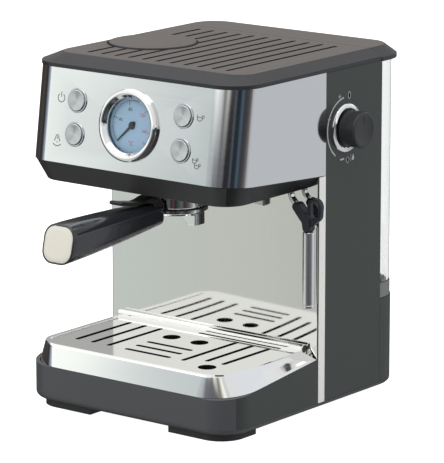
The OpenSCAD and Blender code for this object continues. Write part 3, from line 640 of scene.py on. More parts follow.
def tank_base():
    """Grey moulded foot round the bottom of the clear tank."""
    x, y0, y1 = TANK.size.x / 2 + 0.4, TANK.lo.y - 0.1, TANK.hi.y + 0.4
    z0, z1 = TANK.lo.z, TANK.lo.z + 12.5
    rings = [
        level(plan(-x + t, x - t, y0 + t * 0.1, y1 - t, 1, REAR_R - t), z)
        for t, z in ((0.35, z0), (0.0, z0), (0.0, z1 - 0.5), (0.35, z1))
    ]
    piece("tank_foot", loft(rings, True), TANK_BASE, "tank", angle=30)


# ------------------------------------------------------------------ base, tray and grille
def base_pan():
    """Bottom pan, its lower edge rolled well in."""
    d = Box("base_pan")
    lo, hi = d.lo.z, d.hi.z
    w, y1 = HALF_W, d.hi.y
    rings = [level(plan(-w + 3, w - 3, 3, y1 - 3, FRONT_R - 3, REAR_R - 3), hi)]
    for a in range(0, 91, 15):
        roll = 1 - math.cos(math.radians(a))
        side, end = 8 * roll, 5 * roll
        outline = plan(-w + side, w - side, end, y1 - end, FRONT_R - end, REAR_R - end)
        rings.append(level(outline, hi - (hi - lo) * math.sin(math.radians(a))))
    piece("base_pan_shell", loft(rings), COVER_LIT_COPY, "body", ["base_pan"], angle=40)


def drip_tray():
    """Open tray in the lighter, lit copy of the cover plastic; its sides take the darker cover finish as
    painted shade.
    """
    w, y1, z0 = HALF_W, TRAY.hi.y, TRAY.lo.z
    t = 3.5
    inside = plan(-w + t, w - t, t, y1 - t, FRONT_R - t, 0.6)
    outside = plan(-w, w, 0, y1, FRONT_R, 0.6)
    rings = [
        level(inside, z0 + 2.7), level(inside, tray_edge),
        level(outside, tray_edge), level(outside, z0 - 0.25),
    ]
    obj = piece("drip_tray_body", loft(rings), COVER_LIT_COPY, "tray", ["drip_tray"], angle=30)
    # Painted shade: the sideways-facing faces take the darker cover finish.
    paint(obj, COVER_DARK, lambda n, c: abs(n.x) > 0.85)


GRILLE_TOP = GRILLE.hi.z - 5.0
SLOT_X = (39.9, 57.2, 74.3)
SHORT_SLOT_Y = (28.5, 43.2, 57.5)
DRAINS = ((-15.0, 82.0), (15.0, 82.0), (69.5, 23.0))
SLOT_W = 4.6
COVER_FOOT_R = 36.0
LIFT_SLOT = ((-6.0, 107.6), (81.5, 107.6), 3.4)
DRAIN_R = 7.75


def grille():
    """Stamped cover: sloping skirt, rounded shoulder, flat plate with its slots, raised rear lip."""
    top, edge, rear = GRILLE_TOP, HALF_W - 0.6, GRILLE.hi.y
    top_w, top_y = 100.0, 4.0

    def skirt(f, inset=0.0, drop=0.0):
        """Ring at fraction f from the rim (0) to the plate's edge (1)."""
        w = edge + (top_w - edge) * f - inset
        y0 = 0.6 + (top_y - 0.6) * f + inset
        y1 = rear + (113.0 - rear) * f - inset
        r = COVER_FOOT_R + (21 - COVER_FOOT_R) * f - inset * 0.5
        out = []
        for x, y in plan(-w, w, y0, y1, r, 1.2 + 2 * f):
            low = tray_edge(y) + 0.3
            out.append((x, y, low + (top - low) * f - drop))
        return out

    def shoulder(low_ring, flat, a):
        """Rounded step from the skirt's top to the plate, at angle a of its quarter turn."""
        k = math.sin(math.radians(a))
        inward = 1.5 * (1 - math.cos(math.radians(a)))
        ring = []
        for p, q in zip(low_ring, flat):
            d = Vector((q[0] - p[0], q[1] - p[1]))
            d = d.normalized() if d.length else Vector((0, 0))
            x = p[0] + (q[0] - p[0]) * k + d.x * inward
            y = p[1] + (q[1] - p[1]) * k + d.y * inward
            ring.append((x, y, p[2] + (q[2] - p[2]) * min(1.0, 1.35 * k)))
        return ring

    def shell(inset, drop):
        rings = [skirt(0.0, inset, 0.0), skirt(0.86, inset, drop)]
        flat = skirt(1.0, inset, drop)
        rings += [shoulder(rings[1], flat, a) for a in (25, 50, 75)]
        w = top_w - 1.6 - inset
        plate = plan(-w, w, top_y + 1.6 + inset, 111.4 - inset, 19.4 - inset * 0.5, 1.6)
        return rings + [level(plate, top - drop)]

    solid = loft(list(reversed(shell(SHEET, SHEET))) + shell(0.0, 0.0))
    obj = piece("drip_cover_plate", solid, STEEL_GRILLE, "grille", ["drip_grille"])
    cut(obj, [cutter([shifted(prism(o, 14), dz=top - 9) for o in cover_holes()])])
    # Painted shade: the upright walls of the plate's slots and holes take the near-black finish.
    paint(
        obj, SLOT_PAINTED_SHADE,
        lambda n, c: abs(c.x) < top_w - 4 and top_y + 3 < c.y < 112
        and abs(n.z) < 0.4 and top - SHEET - 0.1 < c.z < top,
    )
    bead_x = 6.5 - top_w
    bead = shifted(prism(stadium(bead_x, 18, bead_x, 104, 2.6), 0.7), dz=top - 0.05)
    piece("cover_bead", bead, STEEL_BEAD, "grille", bevel=0.3)
    lip = [(112.6, top - 6), (118.4, top - 8), (118.6, top + 2)]
    lip += arc(115.6, top + 2, 3.0, 10, 170, 14) + [(112.6, top + 2)]
    matrix = Matrix.Translation(at(-top_w, 0, 0)) @ ACROSS
    piece(
        "drip_cover_lip", prism(lip, 2 * top_w), STEEL_GRILLE, "grille", matrix=matrix, angle=30,
        bevel=0.8, segments=3,
    )


def cover_holes():
    """Outlines of the long and short slots, the round drains and the lift slot."""
    half = SLOT_W / 2
    holes = []
    for i, x in enumerate(SLOT_X):
        holes.append(stadium(-x, 27 + half, -x, 100 - half, SLOT_W))
        holes.append(stadium(x, (27 if i == 0 else 37) + half, x, 101 - half, SLOT_W))
    holes += [stadium(-22 + half, y, 27 - half, y, SLOT_W) for y in SHORT_SLOT_Y]
    holes += [arc(x, y, DRAIN_R, 0, 360 - 360 / 48, 47) for x, y in DRAINS]
    (ax, ay), (bx, by), slit = LIFT_SLOT
    holes.append(stadium(ax + slit / 2, ay, bx - slit / 2, by, slit))
    return holes


def backsplash():
    """Polished sheet with its folded side returns."""
    y0, y1, z0 = SPLASH.lo.y, SPLASH.hi.y, SPLASH.lo.z
    under_head, full = UNDER.lo.z - 0.1, SPLASH.hi.z
    w, r = HALF_W, 1.6

    def path(inset):
        left = arc(-w + r, y0 + r, r - inset, 180, 270, 6)
        right = arc(w - r, y0 + r, r - inset, 270, 360, 6)
        return [(-w + inset, y1)] + left + right + [(w - inset, y1)]

    rings = []
    for o, i in zip(path(0.0), path(SHEET)):
        top = full if abs(o[0]) > w - 2.2 else under_head
        rings.append([(*o, z0), (*o, top), (*i, top), (*i, z0)])
    obj = piece("backsplash_sheet", loft(rings), STEEL_SPLASH, "body", ["backsplash"], angle=40)
    # Painted highlight: the outward faces of the side returns take the pale finish.
    paint(obj, RETURN_PAINTED_HIGHLIGHT, lambda n, c: abs(n.x) > 0.8 and abs(c.x) > w - 1)


# ------------------------------------------------------------------ gauge
def gauge():
    """Bezel ring, case, liner, dial plate and domed lens, all on the panel's axis."""
    m = panel_matrix(GAUGE.x, PANEL_T)
    ro, ri, rd = Box("gauge_bezel").size.x / 2, 22.6, 24.4
    bezel = [(ri, 0.1), (ro, 0.1), (ro, 1.2)] + arc(ro - 3.2, 1.4, 3.2, 0, 90, 9)
    bezel += [(ro - 4.2, 4.6), (ro - 5.0, 4.3), (ro - 5.6, 3.6), (ri + 0.5, 1.9), (ri, 1.4)]
    piece("gauge_bezel_ring", lathe(bezel, 128, True), CHROME, "body", ["gauge_bezel"], m, angle=50)
    rc = Box("gauge_case").size.x / 2
    wall = [(rc - 1.6, 0.0), (rc, 0.0), (rc, -20), (1, -20), (1, -17.5), (rc - 1.6, -17.5)]
    piece("gauge_case_cup", lathe(wall, closed=True), CASE, "body", ["gauge_case"], m)
    liner = [(ri, 1.3), (23.4, 1.3), (rd, -4.1), (23.2, -4.1)]
    piece("gauge_liner", lathe(liner, closed=True), CASE, "body", matrix=m)
    plate = [(rd, -5.2), (rd, -4.2), (1.3, -4.2), (1.3, -5.2)]
    piece("gauge_dial_plate", lathe(plate, closed=True), DIAL, "body", ["gauge_dial"], m)
    lens = [(rd, -1.3), (rd, -0.4), (rd * 0.7, -0.25), (rd * 0.35, -0.1), (0.5, -0.05)]
    piece("gauge_lens_glass", lathe(lens), GLASS, "body", ["gauge_lens"], m)


DIAL_START, DIAL_SWEEP, DIAL_MAX = 225.0, 270.0, 180
DIAL_RED_FROM = 100


def dial_angle(value):
    return math.radians(DIAL_START - DIAL_SWEEP * value / DIAL_MAX)


def bar(p, q, w, h=0.05):
    """Thin flat bar from p to q."""
    d = Vector((q[0] - p[0], q[1] - p[1]))
    n = Vector((-d.y, d.x)).normalized() * w / 2
    sides = [(p, -1), (q, -1), (q, 1), (p, 1)]
    return prism([(end[0] + s * n.x, end[1] + s * n.y) for end, s in sides], h)


def line(points, w, h=0.05):
    """A drawn line: a mitred ribbon along its points."""
    left, right = [], []
    n = len(points)
    closed = n > 2 and (Vector(points[0]) - Vector(points[-1])).length < 1e-6
    for i, p in enumerate(points):
        a = points[i - 1] if i else (points[-2] if closed else p)
        b = points[i + 1] if i < n - 1 else (points[1] if closed else p)
        d = (Vector(b) - Vector(a)).normalized()
        nx, ny = -d.y * w / 2, d.x * w / 2
        left.append((p[0] + nx, p[1] + ny))
        right.append((p[0] - nx, p[1] - ny))
    return prism(right + list(reversed(left)), h)


def flat_print(name, parts, material, body, matrix):
    return piece(name, merge(parts), material, body, matrix=matrix, angle=60)


def numeral(name, text, size, x, y, material, body, matrix, slot):
    """A printed number or sign, made into a thin mesh."""
    curve = bpy.data.curves.new(name, "FONT")
    curve.body = text
    curve.size = size * MM
    curve.extrude = 0.02 * MM
    curve.align_x = "CENTER"
    curve.align_y = "CENTER"
    text_obj = link(bpy.data.objects.new(name + "_text", curve))
    bpy.context.view_layer.update()
    graph = bpy.context.evaluated_depsgraph_get()
    mesh = bpy.data.meshes.new_from_object(text_obj.evaluated_get(graph))
    bpy.data.objects.remove(text_obj)
    obj = link(bpy.data.objects.new(name, mesh))
    obj.matrix_world = matrix @ Matrix.Translation((x * MM, y * MM, 0.03 * MM))
    mesh.materials.clear()
    mesh.materials.append(material)
    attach(obj, body)


def dial_print():
    """Scale ticks, scale arc and numbers; the hot end of the scale is red."""
    m = panel_matrix(GAUGE.x, PANEL_T, -4.2)
    black, red = [], []

    def on_dial(r, value):
        return r * math.cos(dial_angle(value)), r * math.sin(dial_angle(value))

    for value in range(0, DIAL_MAX + 1, 4):
        major = value % 40 == 0 or value == DIAL_MAX
        tick = bar(on_dial(16.4 if major else 18.6, value), on_dial(20.4, value), 0.5 if major else 0.22)
        (red if value >= DIAL_RED_FROM else black).append(tick)
    for first, last, target in ((0, DIAL_RED_FROM, black), (DIAL_RED_FROM, DIAL_MAX, red)):
        target.append(line([on_dial(20.6, v) for v in range(first, last + 1, 4)], 0.35))
    flat_print("dial_marks_black", black, BLACK, "body", m)
    flat_print("dial_marks_red", red, RED, "body", m)
    for value in (40, 80, 120, 160):
        ink, slot = (RED, "valve_red") if value > DIAL_RED_FROM else (BLACK, "needle_black")
        numeral(f"dial_number_{value}", str(value), 4.2, *on_dial(13.2, value), ink, "body", m, slot)
    numeral("dial_unit", "°C", 5.2, 0.0, -15.0, RED, "body", m, "valve_red")


def needle():
    """Pointer blade on its hub, at the start of the scale."""
    a = math.radians(DIAL_START)
    tip, tail = 19.0, -4.0
    d, n = Vector((math.cos(a), math.sin(a))), Vector((-math.sin(a), math.cos(a)))
    outline = [d * tail - n * 1.2, d * tip - n * 0.45, d * (tip + 0.3)]
    outline += [d * tip + n * 0.45, d * tail + n * 1.2]
    blade = shifted(prism([tuple(p) for p in outline], 0.5), dz=-3.4)
    hub = lathe([(1.1, -9), (1.1, -4), (3.1, -3.8), (3.1, -2.9), (2.6, -2.2), (1.2, -1.9)], 48)
    m = panel_matrix(GAUGE.x, PANEL_T)
    piece("gauge_pointer", merge([blade, hub]), BLACK, "needle", ["gauge_needle"], m, angle=40)


# ------------------------------------------------------------------ printed symbols
def panel_symbols():
    """Signs beside the buttons: power, steam, one cup and two cups, as plain drawn lines."""
    parts = []

    def put(x, up, lines, w=0.75, k=1.0):
        for points in lines:
            parts.append(line([(x + px * k, up + py * k) for px, py in points], w))

    put(-73.3, 54.3, [arc(0, -0.4, 3.6, 125, 415, 24), [(0, 0.2), (0, 4.6)]])
    put(-74.3, 18.4, [
        [(-0.9, 4.4), (0.9, 4.4)], [(-1.0, 4.2), (-2.9, -0.8)], [(1.0, 4.2), (2.9, -0.8)],
        [(0, 3.0), (0, 1.0)], [(-0.5, -1.5), (0.5, -1.5)],
        [(-4.2, -3.0), (-2.2, -4.3), (0, -4.8), (2.2, -4.3), (4.2, -3.0)],
    ])
    for x, up, k in ((72.8, 54.1, 1.0), (71.0, 19.4, 0.85), (73.6, 15.2, 0.85)):
        bowl = [(-2.7, 2.0), (-2.7, -0.2)] + arc(-0.2, -0.4, 2.5, 180, 360, 12) + [(2.3, 2.0)]
        ear = [(2.4, 1.5), (4.0, 1.9), (4.3, 0.4), (2.5, -0.9)]
        put(x, up, [bowl, ear, [(-2.5, 0.2 / k), (2.1, 0.2 / k)]], 0.7, k)
    flat_print("panel_symbols", parts, INK_GREY, "body", panel_matrix(out=0.01))


def side_symbols():
    """Printed arc, zero, plus, minus, steam and water signs round the knob."""
    tick = math.radians(12)
    minus_arc = line(arc(0, 0, 26.0, 97, 236, 48), 1.3)
    pointer = line([(-26.0 * math.cos(tick), 26 * math.sin(tick) + 5), (-21.6, 10.2)], 1.0)
    turns = [2 * math.pi * i / 24 for i in range(25)]
    zero = line([(1.6 * math.cos(t) + 4.4, 2.9 * math.sin(t) + 26.8) for t in turns], 0.7)
    bars = [
        ((-10.9, 27.4), (-7.3, 27.4), 0.8), ((-9.1, 25.6), (-9.1, 29.2), 0.8),
        ((-8.0, -26.0), (-2.4, -26.0), 1.5), ((7.2, -30.0), (7.2, -23.4), 0.35),
    ]
    steam = line([(0.4, -27.5), (2.6, -24.6), (4.8, -27.5), (2.6, -30.4), (0.4, -27.5)], 0.8)
    flame = line([(2.6, -24.8), (2.0, -26.4), (3.2, -27.4), (2.6, -28.8)], 0.6)
    drop = prism(list(reversed([(10.4, -23.4), (11.6, -26.2)] + arc(10.2, -27.4, 1.6, 20, -200, 10))), 0.05)
    parts = [minus_arc, pointer, zero] + [bar(*b) for b in bars] + [steam, flame, drop]
    matrix = side_matrix(KNOB.y, KNOB.z, 0.01)
    flat_print("side_symbols", parts, INK_PALE, "body", matrix)


# ------------------------------------------------------------------ steam knob
def knob():
    """Knob cap with its mark and hub, standing in a chrome ring."""
    box = Box("steam_knob")
    back, face, r = box.lo.x - HALF_W, box.hi.x - HALF_W, box.size.y / 2
    bore, hollow = 3.02, 2.0
    m = side_matrix(KNOB.y, KNOB.z)
    outer = [(bore, back), (r - 0.6, back), (r, back + 0.6), (r, face - 2.6)]
    outer += arc(r - 1.8, face - 1.8, 1.8, 0, 90, 6)
    outer += [(r - 3.2, face), (r - 3.8, face - 0.35), (hollow, face - 0.35)]
    cap = lathe(outer + [(hollow, face - 6), (bore, face - 6)], closed=True)
    piece("steam_knob_cap", cap, KNOB_DARK, "knob", ["steam_knob"], m, angle=35)
    mark = prism([(-0.55, 5.6), (0.55, 5.6), (0.55, 11.2), (-0.55, 11.2)], 0.25)
    flat_print("steam_knob_mark", [shifted(mark, dz=face - 0.4)], BLACK, "knob", m)
    hub = lathe([(2.4, face - 5), (2.4, face - 0.38)], 48)
    flat_print("steam_knob_hub", [hub], KNOB_DARK, "knob", m)
    ring = [(16.2, 0.05), (20.5, 0.05), (20.5, 0.9), (20.1, 1.5)]
    ring += [(19.3, 1.7), (17.6, 2.5), (16.9, 2.4), (16.2, 1.6)]
    piece("knob_ring_chrome", lathe(ring, 128, True), CHROME, "body", ["knob_ring"], m, angle=30)


# ------------------------------------------------------------------ brewing group
def group():
    """Group collar that the portafilter locks into, with its flange inside the head."""
    bottom = Box("group_head").lo.z
    ro, ri, lip, seat, flange = 25.2, 24.0, 21.9, 195.0, 40
    profile = [
        (ri, bottom + 2.8), (ri, seat), (4, seat), (4, 206), (flange, 206), (flange, 200.1), (ro, 200.1),
        (ro, bottom + 0.6), (ro - 0.5, bottom), (lip, bottom), (lip, bottom + 2.6),
    ]
    centre = (GROUP.x, GROUP.y, 0)
    turned("group_collar", profile, centre, (0, 0, 1), CHROME, "body", ["group_head"], closed=True, angle=30)


def portafilter():
    """Bowl with its rim and barrel, the neck nut, the bayonet ears and the spout bar."""
    rim = Box("portafilter_body")
    r, barrel, well = rim.size.x / 2, 21.4, 18.6
    bowl = Box("portafilter_spout").hi.z
    top, mouth = bowl + 6.5, rim.hi.z - 1
    profile = [
        (well, mouth), (barrel, mouth), (barrel, top + 0.05), (r - 0.9, top), (r, top - 0.9), (r, top - 3.4),
        (r - 1, top - 4.0), (21, top - 4.2), (20, bowl + 0.5), (19.5, bowl), (0.5, bowl), (0.5, bowl + 2),
        (well, bowl + 2),
    ]
    turned(
        "portafilter_bowl", profile, (GROUP.x, GROUP.y, 0), (0, 0, 1), CHROME, "portafilter",
        ["portafilter_body"], closed=True, angle=30,
    )
    neck = [(0.5, 0), (5.0, 0), (5.0, 3.2), (7.6, 3.6), (8.2, 4.4), (7.6, 5.6), (0.5, 5.6)]
    start = (GROUP.x, GROUP.y - r + 3.2, 171.5)
    turned("portafilter_neck", neck, start, (0, -1, 0), CHROME, "portafilter")
    ears = []
    for a in (-22, 158):
        inner, outer = arc(0, 0, barrel - 0.5, a, a + 44, 12), arc(0, 0, 23.4, a, a + 44, 12)
        ears.append(shifted(prism(outer + list(reversed(inner)), 3), GROUP.x, GROUP.y, top + 6))
    piece("portafilter_ears", merge(ears), CHROME, "portafilter", bevel=0.4)
    spout()


def spout():
    """Flat bar under the bowl with rounded ends, arched between its two spouts."""
    box = Box("portafilter_spout")
    r, half = box.size.x / 2, box.size.y / 2
    z0, z1 = box.lo.z, box.hi.z + 2.3
    end = math.degrees(math.asin(half / r))
    outline = arc(0, 0, r, -end, end, 12) + arc(0, 0, r, 180 - end, 180 + end, 12)
    solid = shifted(prism(outline, z1 - z0), GROUP.x, GROUP.y, z0)
    obj = piece("portafilter_spouts", solid, CHROME, "portafilter", ["portafilter_spout"])
    arch_r, arch_below = 23, 15.2
    arch = shifted(prism(arc(0, 0, arch_r, 0, 356.25, 95), 100), dz=-50)
    cut(obj, [cutter([arch], Matrix.Translation(at(GROUP.x, GROUP.y, z0 - arch_below)) @ UPRIGHT)])
    bore = lathe([(2.4, z0 - 1), (2.4, z0 + 5)], 32)
    cut(obj, [cutter([shifted(bore, GROUP.x + x, GROUP.y) for x in (-20.6, 20.6)])])
    add_bevel(obj, 0.5, 3, 32)


def rounded_square(w, h, r, n=10):
    x, y = w / 2 - r, h / 2 - r
    corners = ((x, y, 0), (-x, y, 90), (-x, -y, 180), (x, -y, 270))
    return [p for cx, cy, start in corners for p in arc(cx, cy, r, start, start + 90, n)]


END_TILT = math.radians(13)


def handle():
    """Tapering rounded-square handle, its end face leaning back, with the cream cap let in."""
    y_end, y_butt = -82.0, GROUP.y - 29.0
    z_end, z_butt = 168.5, 173.0
    w_end, w_butt = Box("portafilter_handle").size.x, 20.0
    steps = 26
    rings = [[(x, y_butt + 0.8, z_butt + h) for x, h in rounded_square(w_butt - 3, w_butt - 3, 6)]]
    for i in range(steps + 1):
        f = i / steps
        y = y_butt + (y_end + 1.2 - y_butt) * f
        w = w_butt + (w_end - w_butt) * (1 - (1 - f) ** 1.45)
        z = z_butt + (z_end - z_butt) * f
        lean = math.tan(END_TILT * max(0.0, (f - 0.55) / 0.45))
        rings.append([(x, y + h * lean, z + h) for x, h in rounded_square(w, w * 0.985, w * 0.34)])

    def end_ring(less, r, out):
        """Ring on the leaning end face: its width below the full one, corner radius and depth."""
        square = rounded_square(w_end - less, w_end - less, r)
        return [(x, y_end + out + h * math.tan(END_TILT), z_end + h) for x, h in square]

    rim = ((0.5, 10.8, 0.55), (1.4, 10.4, 0.1), (2.6, 9.9, 0.15), (3.0, 9.7, 0.5), (3.1, 9.6, 1.4))
    rings += [end_ring(*step) for step in rim]
    piece("portafilter_grip", loft(rings), HANDLE, "portafilter", ["portafilter_handle"], angle=55)
    cap = ((3.4, 9.5, 1.3), (3.4, 9.5, 0.55), (4.2, 9.2, 0.28), (12, 7, 0.2))
    cap_solid = loft([end_ring(*step) for step in cap])
    piece("portafilter_end_cap", cap_solid, CAP, "portafilter", ["handle_cap"], angle=50)


def clip():
    """Thumb clip that holds the basket: a curled tongue on two hinge ears."""
    top = [(39, 187.8), (34, 189.4), (28, 189.0), (22, 187.4), (15, 187.0), (9, 188.2)]
    top += [(0, 189.6), (-8, 191.4)]
    low = [(-9.6, 190.6), (-9.2, 188.2), (-4, 187.2), (2, 186.0), (12, 185.2), (20, 185.0)]
    low += [(28, 184.4), (38, 184.2)]
    width = 13.6
    matrix = Matrix.Translation(at(-width / 2, 0, 0)) @ ACROSS
    tongue = prism(top + low, width)
    obj = piece("basket_clip_tongue", tongue, CLIP_BLACK, "clip", ["basket_clip"], matrix, angle=50)
    add_bevel(obj, 0.8, 3, 30)
    pin = [(2.1, -8), (2.1, 8)]
    centre = (0, CLIP.y, CLIP.z)
    turned("basket_clip_pin", pin, centre, (1, 0, 0), CHROME, "clip", n=32)
    outline = [(44, 174), (44, 181)] + arc(CLIP.y + 2, CLIP.z - 0.4, 3.6, 60, 180, 8) + [(28, 178), (27, 174)]
    ears = merge([shifted(prism(outline, 1.6), dz=x) for x in (-8.6, 7.0)])
    matrix = Matrix.Translation(at(0, 0, 0)) @ ACROSS
    piece("clip_ears", ears, CLIP_BLACK, "portafilter", matrix=matrix, bevel=0.4)


# ------------------------------------------------------------------ steam wand
def tube(name, points, radius, material, body, nodes=()):
    """Round tube along machine points, closed at both ends."""
    path = [Vector(p) for p in points]
    side = Vector((0, 1, 0))
    rings = []
    for i, p in enumerate(path):
        d = (path[min(i + 1, len(path) - 1)] - path[max(i - 1, 0)]).normalized()
        u = side.cross(d).normalized()
        v = d.cross(u)
        rings.append([tuple(p + u * x + v * y) for x, y in arc(0, 0, radius, 0, 348.75, 31)])
    return piece(name, loft(rings), material, body, nodes, angle=45)


def wand():
    """Bent steam pipe from its swivel nut, the nozzle, the sliding sleeve and the grip."""
    x, y = WAND.x, WAND.y
    bend_r, bore = 8.0, 2.26
    bend = [(x, y, 204), (x, y, 198), (x, y, 193)]
    bend += [(bx, y, bz) for bx, bz in arc(x + bend_r, 191, bend_r, 180, 225, 9)]
    last = Vector(bend[-1])
    d = Vector((math.sin(math.radians(45)), 0, -math.cos(math.radians(45))))
    bend += [tuple(last + d * k) for k in (2.0, 5.0)]
    tube("steam_pipe", bend, 2.7, CHROME, "wand", ["wand_pipe"])
    cx, z0, z1, ro = SLEEVE.mid.x, SLEEVE.lo.z, SLEEVE.hi.z, SLEEVE.size.x / 2
    tube("steam_nozzle", [(cx, y, z0 + 4), (cx, y, z1)], 2.2, SLEEVE_STEEL, "wand")
    mouth = [(bore, z0), (ro - 0.5, z0), (ro, z0 + 0.5), (ro, z0 + 2.2), (ro - 0.3, z0 + 2.6), (ro, z0 + 3.0)]
    profile = mouth + [(ro, z1 - 0.4), (ro - 0.4, z1), (bore, z1)]
    turned(
        "frothing_tube", profile, (cx, y, 0), (0, 0, 1), SLEEVE_STEEL, "sleeve", ["frothing_sleeve"],
        closed=True, n=64,
    )
    grip()
    nut = [(2.75, 194), (5.6, 194), (6, 194.5), (6, 206), (2.75, 206)]
    turned("wand_nut", nut, (x, y, 0), (0, 0, 1), CHROME, "body", ["wand_socket"], closed=True, n=48)


def hull_outline(circles, n=32):
    """Convex outline round circles given as (x, z, radius)."""
    points = set()
    for cx, cz, r in circles:
        points |= {(round(px, 5), round(pz, 5)) for px, pz in arc(cx, cz, r, 0, 360 - 360 / n, n - 1)}

    def turns_in(a, b, p):
        return (b[0] - a[0]) * (p[1] - a[1]) - (b[1] - a[1]) * (p[0] - a[0]) <= 0

    def half(row):
        out = []
        for p in row:
            while len(out) > 1 and turns_in(out[-2], out[-1], p):
                out.pop()
            out.append(p)
        return out[:-1]

    return half(sorted(points)) + half(sorted(points, reverse=True))


def grip():
    """Rubber grip: two thick limbs along the pipe and a thinner finger loop, softened all over."""
    limbs = [
        ([(98.2, 180.2, 3.8), (107.0, 170.6, 4.1)], 8.6),
        ([(108.0, 170.6, 4.2), (108.7, 163.4, 3.7)], 8.6),
        ([(115.6, 182.2, 7.0), (115.6, 175.6, 6.6)], 5.4),
        ([(115.6, 175.6, 6.6), (108.8, 166.0, 3.6)], 5.4),
    ]
    base = None
    for limb, depth in limbs:
        matrix = Matrix.Translation(at(0, WAND.y + depth / 2, 0)) @ UPRIGHT
        part = piece("cutter", prism(hull_outline(limb), depth), None, None, matrix=matrix)
        if base is None:
            base = part
        else:
            cut(base, [part], "UNION")
    hole = prism(hull_outline([(116.0, 182.4, 4.5), (115.8, 176.0, 4.1)]), 20)
    cut(base, [cutter([shifted(hole, dz=-10)], Matrix.Translation(at(0, WAND.y, 0)) @ UPRIGHT)])
    base.name = "wand_grip_rubber"
    remesh = base.modifiers.new("remesh", "REMESH")
    remesh.mode = "VOXEL"
    remesh.voxel_size = 0.45 * MM
    smooth = base.modifiers.new("smooth", "SMOOTH")
    smooth.factor = 0.5
    smooth.iterations = 10
    bake(base)
    for p in base.data.polygons:
        p.use_smooth = True
    base.data.materials.clear()
    base.data.materials.append(GRIP)
    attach(base, "wand")
    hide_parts("wand_grip")


# ------------------------------------------------------------------ stage
CAMERA_TURN, CAMERA_RISE, CAMERA_REACH, CAMERA_LENS = 37.888, 12.728, 2.87556, 262.99


def camera():
    az, el = math.radians(CAMERA_TURN), math.radians(CAMERA_RISE)
    target = at(1.737, 130.0, 141.706)
    direction = Vector((math.sin(az) * math.cos(el), -math.cos(az) * math.cos(el), math.sin(el)))
    data = bpy.data.cameras.new("camera")
    data.lens = CAMERA_LENS
    data.sensor_width = 36.0
    data.sensor_fit = "AUTO"
    data.clip_end = 50
    cam = link(bpy.data.objects.new("camera", data))
    cam.location = target + direction * CAMERA_REACH
    cam.rotation_euler = (target - cam.location).to_track_quat("-Z", "Y").to_euler()
    bpy.context.scene.camera = cam


def area(name, location, target, size, power):
    data = bpy.data.lights.new(name, "AREA")
    data.shape = "RECTANGLE"
    data.size, data.size_y = size, size
    data.energy = power
    lamp = link(bpy.data.objects.new(name, data))
    lamp.location = location
    lamp.rotation_euler = (target - location).to_track_quat("-Z", "Y").to_euler()


# Studio walls as the polished steel sees them, in bands from low to high. Each stop is the angle in
# degrees from straight ahead towards +X, and a brightness: one number for grey, or a colour.
BELOW = (
    (-180, 0.3), (-160, (0.08, 0.07, 0.07)), (-138, (0.02, 0.015, 0.015)), (-118, (0.09, 0.07, 0.07)),
    (-90, (0.04, 0.035, 0.035)), (-68, (0.05, 0.04, 0.04)), (-62, (0.2, 0.23, 0.28)),
    (-54, (0.68, 0.74, 0.72)), (-32, (0.63, 0.65, 0.6)), (-22, 0.5), (-14, 0.03), (-4, 0.07), (12, 0.1),
    (20, (0.03, 0.02, 0.02)), (28, (0.1, 0.05, 0.05)), (36, (0.02, 0.02, 0.03)), (48, (0.05, 0.08, 0.07)),
    (60, (0.14, 0.12, 0.11)), (70, (0.03, 0.03, 0.04)), (88, (0.1, 0.1, 0.11)), (102, 0.3),
    (112, (0.62, 0.63, 0.66)), (150, (0.62, 0.63, 0.66)), (180, 0.3),
)
HORIZON = (
    (-180, 0.3), (-160, (0.1, 0.09, 0.09)), (-140, (0.03, 0.02, 0.02)), (-120, (0.09, 0.08, 0.08)),
    (-104, (0.03, 0.02, 0.02)), (-90, (0.09, 0.08, 0.07)), (-68, 0.03), (-62, (0.22, 0.25, 0.3)),
    (-55, (0.42, 0.47, 0.55)), (-51, (1.15, 1.17, 1.16)), (-41, (1.08, 1.12, 1.08)),
    (-37, (0.68, 0.73, 0.73)), (-32, (0.54, 0.6, 0.61)), (-18, (0.42, 0.45, 0.48)), (-9, (0.17, 0.18, 0.2)),
    (14, (0.13, 0.13, 0.15)), (22, (0.1, 0.1, 0.11)), (27, (0.02, 0.02, 0.025)), (41, (0.03, 0.03, 0.04)),
    (46, (0.09, 0.1, 0.12)), (52, (0.02, 0.03, 0.04)), (61, (0.02, 0.03, 0.04)), (69, (0.09, 0.12, 0.17)),
    (78, (0.04, 0.05, 0.06)), (92, (0.08, 0.06, 0.06)), (100, (0.15, 0.13, 0.14)),
    (104, (0.62, 0.63, 0.66)), (150, (0.62, 0.63, 0.66)), (180, 0.3),
)
ABOVE = (
    (-180, (0.6, 0.6, 0.59)), (-142, (0.42, 0.42, 0.41)), (-112, 0.3), (-72, 0.25), (-62, (1.5, 1.5, 1.46)),
    (-20, (1.45, 1.45, 1.42)), (0, 0.8), (10, (0.25, 0.25, 0.22)), (22, (1.0, 1.0, 0.96)),
    (34, (0.2, 0.18, 0.12)), (46, (1.1, 1.1, 1.06)), (58, 0.3), (70, 1.1), (110, (1.1, 1.12, 1.16)),
    (155, (1.1, 1.12, 1.16)), (180, (0.6, 0.6, 0.59)),
)
HIGH = (
    (-180, (0.6, 0.6, 0.59)), (-142, (0.42, 0.42, 0.41)), (-100, (0.7, 0.7, 0.69)),
    (-60, (1.04, 1.04, 1.02)), (-20, (1.04, 1.04, 1.02)), (40, 0.8), (110, (0.8, 0.82, 0.86)),
    (155, (0.8, 0.82, 0.86)), (180, (0.6, 0.6, 0.59)),
)
CEILING = (1.0, 1.0, 1.0)


